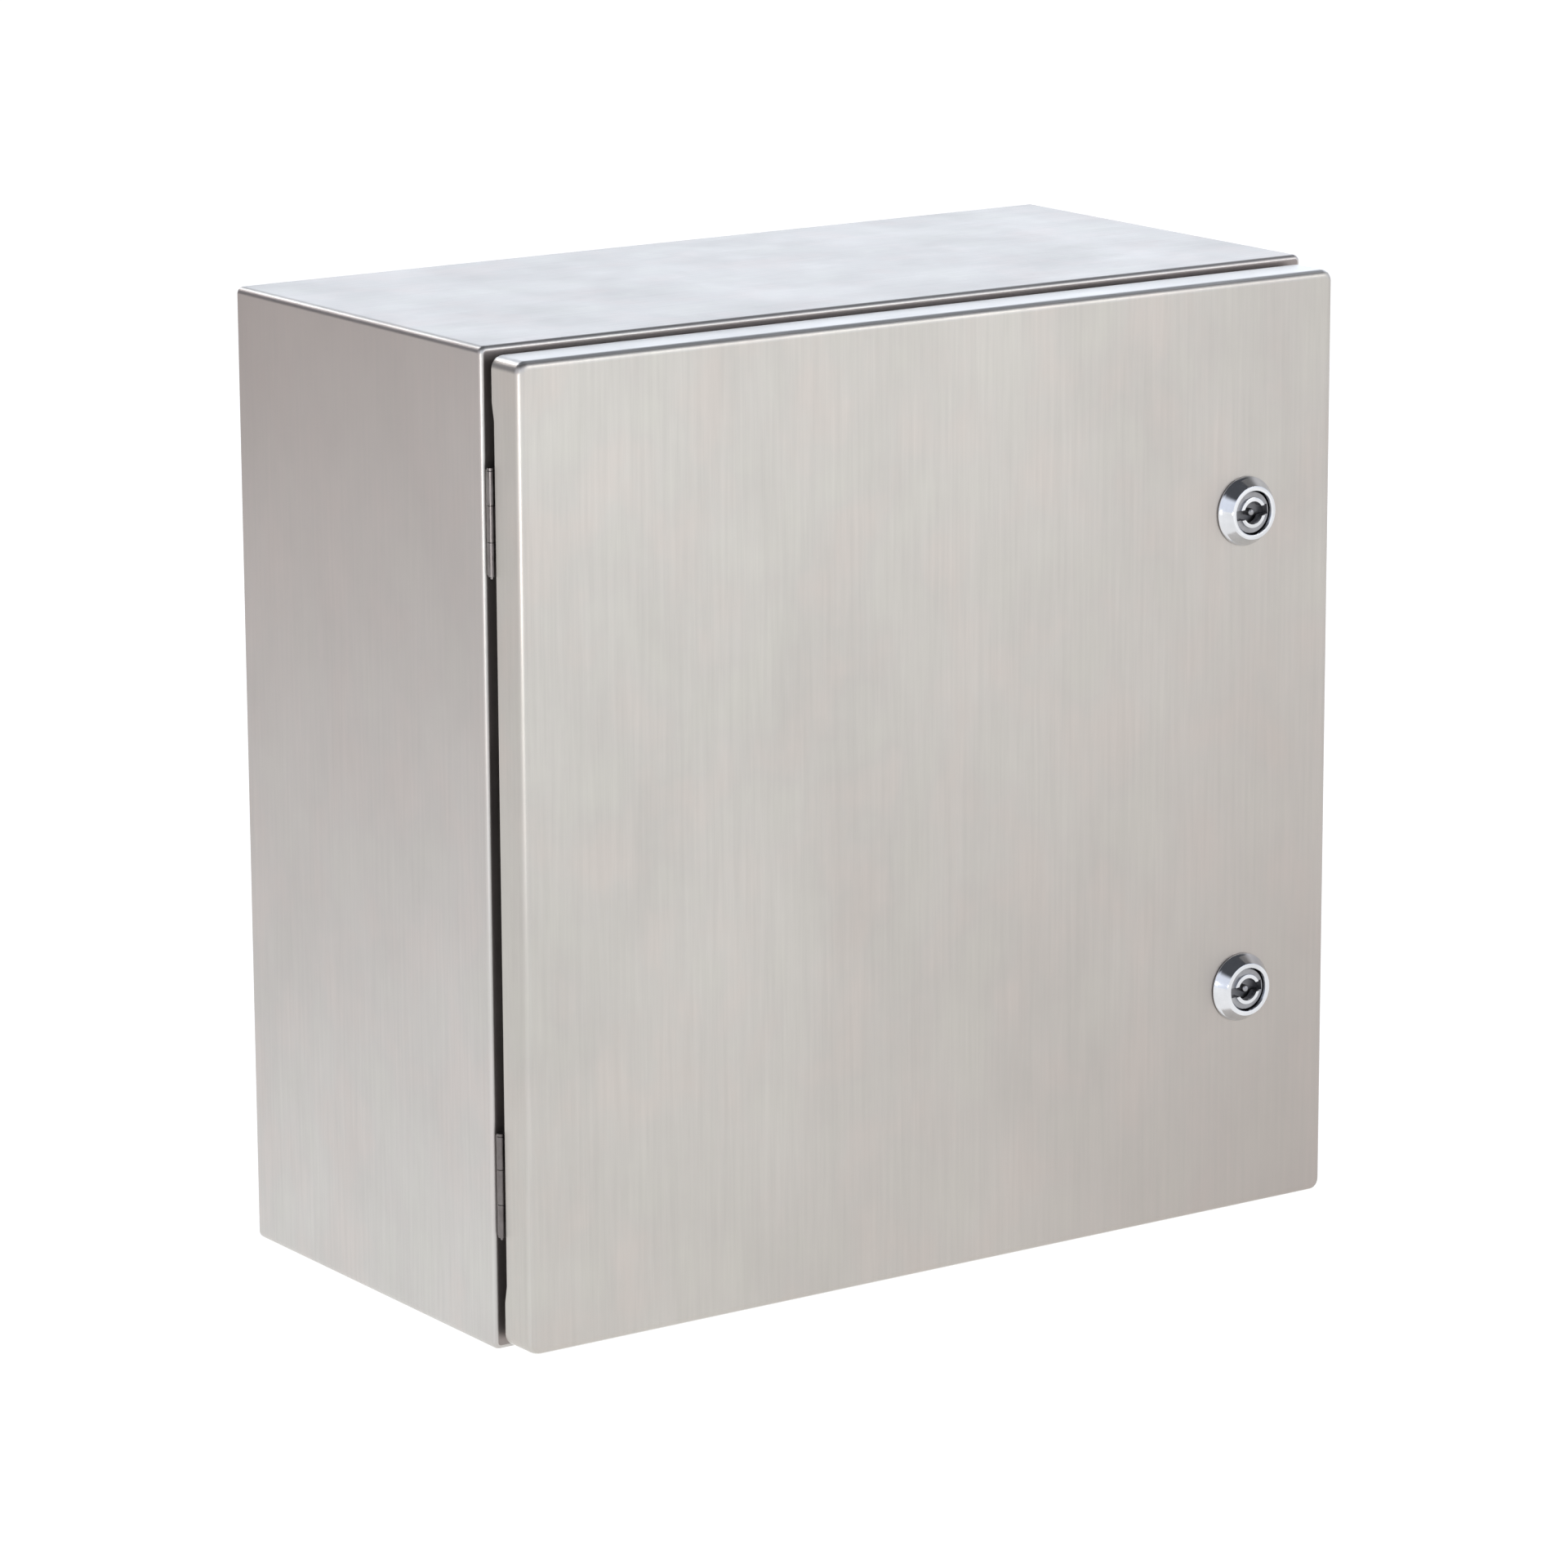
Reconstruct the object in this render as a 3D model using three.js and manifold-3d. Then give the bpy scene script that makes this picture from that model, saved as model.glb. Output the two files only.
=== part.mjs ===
// Fused disconnect switch in a wall-mounted stainless steel enclosure.
//
// A folded sheet-steel box carries a hinged door with two quarter-turn cam locks. Inside, on a mounting
// plate, stands a three-pole fuse switch disconnector: a moulded base with spring contacts, and a hinged
// fuse carrier that holds three knife-blade fuse links and pulls them out of the contacts as it swings
// forward. An earth bar and an insulated neutral bar stand below it, over a gland plate in the floor.
//
// Units are millimetres. +Z is up, -Y is the front, and the origin is the centre of the rear wall's
// outer face, which lies against the wall.

import * as THREE from "three";
import { mergeVertices } from "three/addons/utils/BufferGeometryUtils.js";
import Module from "manifold-3d";

const wasm = await Module();
wasm.setup();

// ---------------------------------------------------------------- driving dimensions

const GAP = 0.3; // left between pieces that touch
const WIDTH = 400;
const HEIGHT = 400;
const DEPTH = 210; // rear wall to door face
const BODY_DEPTH = 186; // rear wall to the front flange
const SHEET = 1.5;
const BODY_CORNER = 3; // outer radius of the folded long edges
const BODY_EDGE = 2; // rounding of the front and rear edges
const FLANGE = 14; // width of the front flange, side to rim
const RIM_Y = -200; // front edge of the rim that meets the gasket

const DOOR_INSET_X = 1.8; // the door is this much smaller than the body on each side
const DOOR_INSET_Z = 3;
const DOOR_BACK_Y = -BODY_DEPTH - 5;
const DOOR_CORNER = 5;
const DOOR_EDGE = 3;
const RELIEF_Y = DOOR_BACK_Y - 1.8; // the door's hinge side is cut back to here between its corners
const RELIEF_HALF_Z = 172;
const RELIEF_SLOPE = 9; // each end of the relief slopes over this height
const GASKET_WIDTH = 10;

const HINGE_X = -WIDTH / 2 + 1.7; // hinge axis
const HINGE_Y = -BODY_DEPTH - 4;
const HINGE_Z = 132; // height of each hinge's middle above and below the centre
const HINGE_LENGTH = 41;
const KNUCKLE_R = 1.5;
const KNUCKLE_BORE = 0.95;
const HINGE_PIN_R = 0.65;
const MID_KNUCKLE = 7; // half length of the door's knuckle
const BODY_LEAF = { width: 9, thick: 1.5 };
const DOOR_LEAF = 2; // thickness
const NECK = 1.2; // half depth of the neck from the door's leaf to its knuckle
const WEB = 1.2; // width of the web from the body's leaf to each of its knuckles

const LOCK_X = 153;
const LOCK_Z = 101;
const LOCK_HOLE_R = 11.25;
const LOCK_FACE_Y = -DEPTH - 6.2;
const CAM_Y = [-BODY_DEPTH + SHEET + 0.5, -BODY_DEPTH + SHEET + 3.5];
const CAM = { reach: 41, halfWidth: 8, round: 10, corner: 5, hole: 4.4 };
const CAM_SCREW = { radius: 2.4, thread: 2.8, washer: 8, washerThick: 1.5, flats: 10, head: 4 };
const COLLAR = { radius: 14.4, rim: 1.2, shoulder: 13.6, face: 11 };
const HOUSING = { radius: 10.9, bore: 9.1, length: 21.3, floor: 2, floorHole: 5 };
const LOCK_NUT = { flats: 27, bore: 11.3, thick: 5 };
const BARREL = { radius: 8.8, back: 18.7, neck: 4.7, square: 4 };
const KEYWAY = { radius: 5.3, depth: 12, wings: 16, wing: 4, pin: 1.7 };
const KEYWAY_TILT = THREE.MathUtils.degToRad(6);

const PLATE_HALF = 175; // mounting plate, half width and half height
const PLATE_Y = [-16.5, -14];
const STUD_X = 160;
const STUD_Z = 130;
const PLATE_NOTCH = 28; // cut from each of its corners
const PLATE_LIP = { thick: 2, deep: 8 };
const PLATE_STUD = { radius: 4, collar: 8, beyond: 10, hole: 4.6 };
const PLATE_NUT = { bore: 4.3, flange: 8.5, flangeThick: 1.5, flats: 13, thick: 6 };

const WALL_HOLE = 172; // wall fixing holes, from the centre in X and Z
const WALL_HOLE_R = 4.5;
const WALL_PLUG = { head: 7, thick: 2, stem: 4.1 };

const GLAND_X = 110; // half width of the opening in the floor
const GLAND_Y = [-140, -50];
const GLAND_LAP = 15; // how far the gland plate laps the opening
const GLAND_SEAL = 2.7; // thickness
const GLAND_SHEET = 2;
const GLAND_STUD = { radius: 3, top: 13, hole: 3.5 };
const GLAND_NUT = { bore: 3.3, flats: 10, thick: 5 };

const SWITCH_Z = 25; // middle of the fuse switch; its heights are measured from here
const POLE_PITCH = 33;
const POLES = ["l1", "l2", "l3"];
const BASE_HALF_W = 53;
const BASE_HALF_H = 85;
const BASE_TOP = 27.7; // switch depths are measured forward from the mounting plate
const WALL_TOP = 58;
const CARRIER_D = [58.5, 88];
const PIVOT_D = 62;
const PIVOT_Z = -54; // from the middle of the switch
const BLADE_D = [36, 51];
const FUSE_BODY_D = [34, 74];
const FUSE_BODY_Z = 26.5;
const FUSE_END_Z = 39.25;
const FUSE_HALF_W = 10.5;
const BLADE_HALF = 3; // half thickness of a blade and of a lug's stem
const LUG_HEAD = { halfWidth: 7, depths: [77, 79] };
const LUG_Z = [23.5, 26.5];
const HOOK = { halfWidth: 9.5, slot: 7.3, mouth: 3.3, depths: [75, 76.7, 79.3] };
const HOOK_Z = [22, 29];

const BASE_WALL = 3;
const BARRIER = { half: 1, top: 54.6 };
const EAR_TOP = 68;
const EAR_Z = [-60, -47];
const PIVOT_HOLE_R = 3.4;
const BOLT_HOLE = { radius: 3.4, from: 14 };
const TERMINAL_Z = 60; // terminal bolts and test holes, above and below the middle
const STRAP = { halfWidth: 7.5, thick: 2.5, from: 27, to: 72, hole: 3.3 };
const CONTACT_ARM = { offsets: [-4.9, 3.3], thick: 1.6, top: 50, z: [32, 42] };
const TERMINAL_BOLT = { radius: 3, washer: 7.2, washerThick: 1.5, flats: 10, head: 4.5, from: 16 };
const COVER = { halfWidth: 49.6, depths: [55, 57.7], z: [53.6, 84.7], hole: 4 };

const LID_HALF_W = 49.5;
const LID_Z = [-50, 52];
const LID_WALL = 2.5;
const WINDOW = { halfWidth: 42, halfHeight: 18, lap: 3, lapZ: 4, thick: 2 };
const HANDLE = { outer: 32, leg: 6, front: 110, z: [36, 46] };
const PIVOT_EAR = { x: [45, 49.5], radius: 4, depths: [58.5, 66], top: -48 };
const TRUNNION = { x: [46, 52.7], radius: 3 };

const BAR_Z = [-156, -144]; // the earth and neutral bars
const EARTH = { x: [-152, -20], front: 18, thick: 4, foot: 12 };
const NEUTRAL = { x: [20, 150], depths: [16.3, 20.3] };
const INSULATOR = { base: 6, top: 16, posts: [[30, 46], [124, 140]] };

const ROUND = 32; // segments of a large circle
const SMALL_ROUND = 20;
const STUD_ROUND = 12;

// ---------------------------------------------------------------- materials

const steel = (color, roughness) => new THREE.MeshStandardMaterial({ color, roughness, metalness: 1 });
const plastic = (color, roughness = 0.5) =>
  new THREE.MeshStandardMaterial({ color, roughness, metalness: 0 });

const MATERIALS = {
  stainless: steel(0xc9c5bf, 0.35),
  chrome: steel(0xe4e6e8, 0.08),
  zinc: steel(0xbfc3c6, 0.4),
  copper: steel(0xb87348, 0.3),
  silver: steel(0xd6d2c8, 0.25),
  grey_plastic: plastic(0x9a9d9c),
  dark_plastic: plastic(0x2b2d30),
  blue_plastic: plastic(0x2f5f9e),
  ceramic: plastic(0xece8dd, 0.35),
  rubber: plastic(0x26262a, 0.9),
  window: new THREE.MeshStandardMaterial({
    color: 0xd8e0e2,
    roughness: 0.1,
    transparent: true,
    opacity: 0.35,
  }),
};

// ---------------------------------------------------------------- geometry helpers

// A three.js geometry as a manifold-3d solid.
function solid(geometry) {
  const bare = new THREE.BufferGeometry();
  bare.setAttribute("position", geometry.getAttribute("position"));
  if (geometry.index) bare.setIndex(geometry.index);
  const merged = mergeVertices(bare.index ? bare.toNonIndexed() : bare, 1e-3);
  const mesh = new wasm.Mesh({
    numProp: 3,
    vertProperties: new Float32Array(merged.attributes.position.array),
    triVerts: new Uint32Array(merged.index.array),
  });
  return new wasm.Manifold(mesh);
}

const join = (...shapes) => shapes.reduce((a, b) => a.add(b));
const cut = (body, ...tools) => tools.reduce((a, b) => a.subtract(b), body);

// A named mesh of a solid.
function piece(name, shape, material) {
  const { vertProperties, triVerts, numProp } = shape.getMesh();
  const positions = new Float32Array((vertProperties.length / numProp) * 3);
  for (let i = 0; i < positions.length / 3; i++) {
    positions.set(vertProperties.subarray(i * numProp, i * numProp + 3), i * 3);
  }
  const geometry = new THREE.BufferGeometry();
  geometry.setAttribute("position", new THREE.BufferAttribute(positions, 3));
  geometry.setIndex(new THREE.BufferAttribute(new Uint32Array(triVerts), 1));
  geometry.computeVertexNormals();
  const mesh = new THREE.Mesh(geometry, MATERIALS[material]);
  mesh.name = name;
  return mesh;
}

// A box from its ranges along X, Y and Z, each [low, high].
function block(x, y, z) {
  const geometry = new THREE.BoxGeometry(x[1] - x[0], y[1] - y[0], z[1] - z[0]);
  return solid(geometry.translate((x[0] + x[1]) / 2, (y[0] + y[1]) / 2, (z[0] + z[1]) / 2));
}

// A cylinder along Y, and the same along X and Z. range is its span along its own axis.
function rodY(radius, range, x, z, sides = SMALL_ROUND) {
  const geometry = new THREE.CylinderGeometry(radius, radius, range[1] - range[0], sides);
  return solid(geometry.translate(x, (range[0] + range[1]) / 2, z));
}

function rodX(radius, range, y, z, sides = SMALL_ROUND) {
  const geometry = new THREE.CylinderGeometry(radius, radius, range[1] - range[0], sides);
  return solid(geometry.rotateZ(Math.PI / 2).translate((range[0] + range[1]) / 2, y, z));
}

function rodZ(radius, range, x, y, sides = SMALL_ROUND) {
  const geometry = new THREE.CylinderGeometry(radius, radius, range[1] - range[0], sides);
  return solid(geometry.rotateX(Math.PI / 2).translate(x, y, (range[0] + range[1]) / 2));
}

// A solid of revolution about the line x, z parallel to Y. The profile is [radius, y] points in a loop.
function turned(profile, x, z, sides = ROUND) {
  const points = [...profile, profile[0]].map(([radius, y]) => new THREE.Vector2(radius, y));
  return solid(new THREE.LatheGeometry(points, sides).translate(x, 0, z));
}

// A plate with a flat outline in X and Z, and a thickness range in Y.
function plateY(shape, y, options = {}) {
  const settings = { depth: y[1] - y[0], bevelEnabled: false, curveSegments: 6, ...options };
  return solid(new THREE.ExtrudeGeometry(shape, settings).rotateX(Math.PI / 2).translate(0, y[1], 0));
}

// A rectangle outline with round corners.
function roundedRect(halfX, halfZ, radius) {
  const shape = new THREE.Shape();
  shape.absarc(halfX - radius, halfZ - radius, radius, 0, Math.PI / 2);
  shape.absarc(radius - halfX, halfZ - radius, radius, Math.PI / 2, Math.PI);
  shape.absarc(radius - halfX, radius - halfZ, radius, Math.PI, 1.5 * Math.PI);
  shape.absarc(halfX - radius, radius - halfZ, radius, 1.5 * Math.PI, 2 * Math.PI);
  shape.closePath();
  return shape;
}

// A block whose long edges have radius corner, and whose front and rear edges have radius edge.
function roundedBlock(halfX, halfZ, y, corner, edge) {
  const outline = roundedRect(halfX - edge, halfZ - edge, corner - edge);
  const geometry = new THREE.ExtrudeGeometry(outline, {
    depth: y[1] - y[0] - 2 * edge,
    bevelThickness: edge,
    bevelSize: edge,
    bevelSegments: 3,
    curveSegments: 4,
  });
  return solid(geometry.rotateX(Math.PI / 2).translate(0, y[1] - edge, 0));
}

// A square frame in X and Z: half sizes outside and inside.
function frame(outerX, outerZ, innerX, innerZ, y) {
  const beyond = [y[0] - 1, y[1] + 1];
  const opening = block([-innerX, innerX], beyond, [-innerZ, innerZ]);
  return cut(block([-outerX, outerX], y, [-outerZ, outerZ]), opening);
}

// A hexagon prism along Y, from its width across the flats.
const hexY = (acrossFlats, y, x, z) => rodY(acrossFlats / Math.sqrt(3), y, x, z, 6);

// The four points at plus and minus x, at two values of a second coordinate, with a name for each.
function corners(x, low, high, lowName = "lower", highName = "upper") {
  return [
    [`${lowName}_left`, -x, low],
    [`${lowName}_right`, x, low],
    [`${highName}_left`, -x, high],
    [`${highName}_right`, x, high],
  ];
}

// ---------------------------------------------------------------- enclosure

function enclosureShell() {
  const halfX = WIDTH / 2;
  const halfZ = HEIGHT / 2;
  const mouthX = halfX - FLANGE;
  const mouthZ = halfZ - FLANGE;
  const inside = block(
    [SHEET - halfX, halfX - SHEET],
    [SHEET - BODY_DEPTH, -SHEET],
    [SHEET - halfZ, halfZ - SHEET],
  );
  const mouth = block([-mouthX, mouthX], [-BODY_DEPTH - 1, -SHEET - 1], [-mouthZ, mouthZ]);
  const rim = frame(mouthX + SHEET, mouthZ + SHEET, mouthX, mouthZ, [RIM_Y, SHEET / 2 - BODY_DEPTH]);
  let shell = roundedBlock(halfX, halfZ, [-BODY_DEPTH, 0], BODY_CORNER, BODY_EDGE);
  shell = join(cut(shell, inside, mouth), rim);
  for (const [, x, z] of corners(WALL_HOLE, -WALL_HOLE, WALL_HOLE)) {
    shell = cut(shell, rodY(WALL_HOLE_R, [-5, 5], x, z));
  }
  const glandOpening = block([-GLAND_X, GLAND_X], GLAND_Y, [-halfZ - 1, SHEET + 1 - halfZ]);
  shell = cut(shell, glandOpening);
  return piece("enclosure_shell", join(shell, ...plateStuds(), ...glandStuds()), "stainless");
}

// Threaded studs with a collar, welded to the rear wall. The mounting plate rests on the collars.
function plateStuds() {
  return corners(STUD_X, -STUD_Z, STUD_Z).flatMap(([, x, z]) => [
    rodY(PLATE_STUD.collar, [PLATE_Y[1] + GAP, -SHEET / 2], x, z, SMALL_ROUND),
    rodY(PLATE_STUD.radius, [PLATE_Y[0] - PLATE_STUD.beyond, -SHEET / 2], x, z, STUD_ROUND),
  ]);
}

const glandStudPlaces = () => {
  const middle = GLAND_LAP / 2;
  return corners(GLAND_X + middle, GLAND_Y[0] - middle, GLAND_Y[1] + middle, "front", "rear");
};

// Studs welded to the floor round the gland opening.
const glandStuds = () => {
  const floor = -HEIGHT / 2;
  const z = [floor + SHEET / 2, floor + GLAND_STUD.top];
  return glandStudPlaces().map(([, x, y]) => rodZ(GLAND_STUD.radius, z, x, y, STUD_ROUND));
};

function glandSet() {
  const floor = SHEET - HEIGHT / 2;
  const x = [-GLAND_X - GLAND_LAP, GLAND_X + GLAND_LAP];
  const y = [GLAND_Y[0] - GLAND_LAP, GLAND_Y[1] + GLAND_LAP];
  const sealZ = [floor + GAP, floor + GAP + GLAND_SEAL];
  const plateZ = [sealZ[1] + GAP, sealZ[1] + GAP + GLAND_SHEET];
  const nutZ = [plateZ[1] + GAP, plateZ[1] + GAP + GLAND_NUT.thick];
  const holes = glandStudPlaces().map(([, hx, hy]) => rodZ(GLAND_STUD.hole, [floor, plateZ[1] + 1], hx, hy));
  const opening = block([-GLAND_X, GLAND_X], GLAND_Y, [floor, sealZ[1] + 1]);
  const nuts = glandStudPlaces().map(([name, nx, ny]) => {
    const hexagon = rodZ(GLAND_NUT.flats / Math.sqrt(3), nutZ, nx, ny, 6);
    const bore = rodZ(GLAND_NUT.bore, [floor, nutZ[1] + 1], nx, ny);
    return piece(`gland_nut_${name}`, cut(hexagon, bore), "zinc");
  });
  return [
    piece("gland_gasket", cut(block(x, y, sealZ), opening, ...holes), "rubber"),
    piece("gland_plate", cut(block(x, y, plateZ), ...holes), "stainless"),
    ...nuts,
  ];
}

function wallPlugs() {
  return corners(WALL_HOLE, -WALL_HOLE, WALL_HOLE).map(([name, x, z]) => {
    const head = rodY(WALL_PLUG.head, [-SHEET - GAP - WALL_PLUG.thick, -SHEET - GAP], x, z);
    const stem = rodY(WALL_PLUG.stem, [-SHEET - 1, -GAP], x, z);
    return piece(`wall_hole_plug_${name}`, join(head, stem), "dark_plastic");
  });
}

// ---------------------------------------------------------------- mounting plate

function mountingPlate() {
  const notch = PLATE_HALF - PLATE_NOTCH;
  const shape = new THREE.Shape();
  shape.moveTo(-notch, -PLATE_HALF);
  shape.lineTo(notch, -PLATE_HALF);
  shape.lineTo(notch, -notch);
  shape.lineTo(PLATE_HALF, -notch);
  shape.lineTo(PLATE_HALF, notch);
  shape.lineTo(notch, notch);
  shape.lineTo(notch, PLATE_HALF);
  shape.lineTo(-notch, PLATE_HALF);
  shape.lineTo(-notch, notch);
  shape.lineTo(-PLATE_HALF, notch);
  shape.lineTo(-PLATE_HALF, -notch);
  shape.lineTo(-notch, -notch);
  const through = [PLATE_Y[0] - 1, 0];
  const studHoles = corners(STUD_X, -STUD_Z, STUD_Z).map(([, x, z]) => rodY(PLATE_STUD.hole, through, x, z));
  const lipY = [PLATE_Y[1] - 1, PLATE_Y[1] + PLATE_LIP.deep];
  const lips = [
    block([-PLATE_HALF, PLATE_LIP.thick - PLATE_HALF], lipY, [-notch, notch]),
    block([PLATE_HALF - PLATE_LIP.thick, PLATE_HALF], lipY, [-notch, notch]),
  ];
  const sheet = join(plateY(shape, PLATE_Y), ...lips);
  const nuts = corners(STUD_X, -STUD_Z, STUD_Z).map(([name, x, z]) => {
    const flangeY = [PLATE_Y[0] - GAP - PLATE_NUT.flangeThick, PLATE_Y[0] - GAP];
    const hexagonY = [flangeY[0] - PLATE_NUT.thick, flangeY[0] + 0.5];
    const body = join(rodY(PLATE_NUT.flange, flangeY, x, z), hexY(PLATE_NUT.flats, hexagonY, x, z));
    const bore = rodY(PLATE_NUT.bore, [hexagonY[0] - 1, 0], x, z);
    return piece(`plate_nut_${name}`, cut(body, bore), "zinc");
  });
  return [piece("mounting_plate", cut(sheet, ...studHoles), "zinc"), ...nuts];
}

// ---------------------------------------------------------------- door

function doorPanel() {
  const halfX = WIDTH / 2 - DOOR_INSET_X;
  const halfZ = HEIGHT / 2 - DOOR_INSET_Z;
  const tray = roundedBlock(halfX, halfZ, [-DEPTH, DOOR_BACK_Y + 10], DOOR_CORNER, DOOR_EDGE);
  const behind = block([-WIDTH, WIDTH], [DOOR_BACK_Y, 0], [-HEIGHT, HEIGHT]);
  const hollow = block(
    [SHEET - halfX, halfX - SHEET],
    [SHEET - DEPTH, 0],
    [SHEET - halfZ, halfZ - SHEET],
  );
  const lockHoles = [-LOCK_Z, LOCK_Z].map((z) => rodY(LOCK_HOLE_R, [-DEPTH - 5, 5 - DEPTH], LOCK_X, z));
  return piece("door_panel", cut(tray, behind, hollow, hingeRelief(), ...lockHoles), "stainless");
}

// What is cut from the rear edge of the door's hinge side to clear the hinges: a long low trapezium.
function hingeRelief() {
  const back = DOOR_BACK_Y + 1;
  const slope = (RELIEF_SLOPE * (back - RELIEF_Y)) / (DOOR_BACK_Y - RELIEF_Y);
  const shape = new THREE.Shape();
  shape.moveTo(RELIEF_Y, -RELIEF_HALF_Z);
  shape.lineTo(back, -RELIEF_HALF_Z - slope);
  shape.lineTo(back, RELIEF_HALF_Z + slope);
  shape.lineTo(RELIEF_Y, RELIEF_HALF_Z);
  const beyond = 1; // the tool reaches past both faces of the door's side
  const width = beyond + DOOR_INSET_X + SHEET + beyond;
  const tool = new THREE.ExtrudeGeometry(shape, { depth: width, bevelEnabled: false });
  // The outline is drawn in Y and Z, and is extruded along X.
  const turn = new THREE.Matrix4().makeBasis(
    new THREE.Vector3(0, 1, 0),
    new THREE.Vector3(0, 0, 1),
    new THREE.Vector3(1, 0, 0),
  );
  return solid(tool.applyMatrix4(turn).translate(-WIDTH / 2 - beyond, 0, 0));
}

function doorGasket() {
  const rimX = WIDTH / 2 - FLANGE + SHEET / 2;
  const rimZ = HEIGHT / 2 - FLANGE + SHEET / 2;
  const side = GASKET_WIDTH / 2;
  const y = [SHEET + GAP - DEPTH, RIM_Y - GAP];
  return piece("door_gasket", frame(rimX + side, rimZ + side, rimX - side, rimZ - side, y), "rubber");
}

// ---------------------------------------------------------------- hinges

function hinge(place, z) {
  const end = HINGE_LENGTH / 2;
  const whole = [z - end, z + end];
  const middle = [z - MID_KNUCKLE, z + MID_KNUCKLE];
  const outer = [[whole[0], middle[0] - GAP], [middle[1] + GAP, whole[1]]];
  const knuckle = (span) => rodZ(KNUCKLE_R, span, HINGE_X, HINGE_Y);
  const bore = rodZ(KNUCKLE_BORE, [whole[0] - 1, whole[1] + 1], HINGE_X, HINGE_Y);

  const bodyPlateY = [-BODY_DEPTH - GAP - BODY_LEAF.thick, -BODY_DEPTH - GAP];
  const bodyPlate = block([HINGE_X, HINGE_X + BODY_LEAF.width], bodyPlateY, whole);
  const webs = outer.map((span) => block([HINGE_X, HINGE_X + WEB], [HINGE_Y, bodyPlateY[1]], span));
  const bodyLeaf = cut(join(bodyPlate, ...webs, ...outer.map(knuckle)), bore);

  const innerFace = -WIDTH / 2 + DOOR_INSET_X + SHEET + GAP;
  const doorPlateX = [innerFace, innerFace + DOOR_LEAF];
  const doorPlateY = [-DEPTH + SHEET + GAP, RELIEF_Y - 1];
  const neckY = [HINGE_Y - NECK, HINGE_Y + NECK];
  const doorLeaf = join(
    block(doorPlateX, doorPlateY, whole),
    block(doorPlateX, [doorPlateY[1] - 1, neckY[1]], middle),
    block([HINGE_X, doorPlateX[1]], neckY, middle),
    knuckle(middle),
  );

  const pin = rodZ(HINGE_PIN_R, [whole[0] - 1, whole[1] + 0.5], HINGE_X, HINGE_Y);
  const head = rodZ(KNUCKLE_R, [whole[1] + GAP, whole[1] + GAP + 1], HINGE_X, HINGE_Y);
  return [
    piece(`body_hinge_leaf_${place}`, bodyLeaf, "zinc"),
    piece(`door_hinge_leaf_${place}`, cut(doorLeaf, bore), "zinc"),
    piece(`hinge_pin_${place}`, join(pin, head), "zinc"),
  ];
}

// ---------------------------------------------------------------- locks

function lockHousing(z) {
  const front = -DEPTH - GAP; // the collar's seat on the door
  const back = front + HOUSING.length;
  return turned(
    [
      [HOUSING.bore, LOCK_FACE_Y],
      [HOUSING.bore, back - HOUSING.floor],
      [HOUSING.floorHole, back - HOUSING.floor],
      [HOUSING.floorHole, back],
      [HOUSING.radius, back],
      [HOUSING.radius, front],
      [COLLAR.radius, front],
      [COLLAR.radius, front - COLLAR.rim],
      [COLLAR.shoulder, front - COLLAR.rim - 0.7],
      [COLLAR.face + 0.5, LOCK_FACE_Y + 0.5],
      [COLLAR.face, LOCK_FACE_Y],
    ].reverse(),
    LOCK_X,
    z,
  );
}

// The part that the key turns: a barrel with a two-winged keyway round a pin, and a square tail.
function lockInsert(z) {
  const face = LOCK_FACE_Y + 0.4;
  const barrelBack = -DEPTH + BARREL.back;
  const recess = [face - 1, face + KEYWAY.depth];
  const wings = new THREE.BoxGeometry(KEYWAY.wings, KEYWAY.depth + 1, KEYWAY.wing);
  wings.translate(0, (recess[0] + recess[1]) / 2, 0).rotateY(-KEYWAY_TILT).translate(LOCK_X, 0, z);
  const pin = rodY(KEYWAY.pin, [face + 1.5, recess[1] + 1], LOCK_X, z, STUD_ROUND);
  const barrel = rodY(BARREL.radius, [face, barrelBack], LOCK_X, z, ROUND);
  const keyed = cut(barrel, rodY(KEYWAY.radius, recess, LOCK_X, z), solid(wings));
  const neck = rodY(BARREL.neck, [barrelBack - 1, CAM_Y[0] - 1.5], LOCK_X, z);
  const half = BARREL.square;
  const tail = block([LOCK_X - half, LOCK_X + half], [CAM_Y[0] - 2, CAM_Y[1] - GAP], [z - half, z + half]);
  const thread = rodY(CAM_SCREW.thread, [CAM_Y[1] - 12, CAM_Y[1] + 1], LOCK_X, z);
  return cut(join(keyed, pin, neck, tail), thread);
}

// A tongue that points up when the lock is open and turns sideways behind the body's flange.
function lockCam(z) {
  const tip = z + CAM.reach;
  const inset = CAM.halfWidth - CAM.corner;
  const shape = new THREE.Shape();
  shape.absarc(LOCK_X, z, CAM.round, Math.PI, 2 * Math.PI);
  shape.lineTo(LOCK_X + CAM.halfWidth, tip - CAM.corner);
  shape.absarc(LOCK_X + inset, tip - CAM.corner, CAM.corner, 0, Math.PI / 2);
  shape.lineTo(LOCK_X - inset, tip);
  shape.absarc(LOCK_X - inset, tip - CAM.corner, CAM.corner, Math.PI / 2, Math.PI);
  shape.closePath();
  const half = CAM.hole;
  const through = [CAM_Y[0] - 1, CAM_Y[1] + 1];
  const square = block([LOCK_X - half, LOCK_X + half], through, [z - half, z + half]);
  return cut(plateY(shape, CAM_Y), square);
}

function camScrew(z) {
  const washer = [CAM_Y[1] + GAP, CAM_Y[1] + GAP + CAM_SCREW.washerThick];
  return join(
    rodY(CAM_SCREW.washer, washer, LOCK_X, z),
    hexY(CAM_SCREW.flats, [washer[1] - 0.5, washer[1] + CAM_SCREW.head], LOCK_X, z),
    rodY(CAM_SCREW.radius, [CAM_Y[1] - 11, washer[1]], LOCK_X, z),
  );
}

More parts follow.
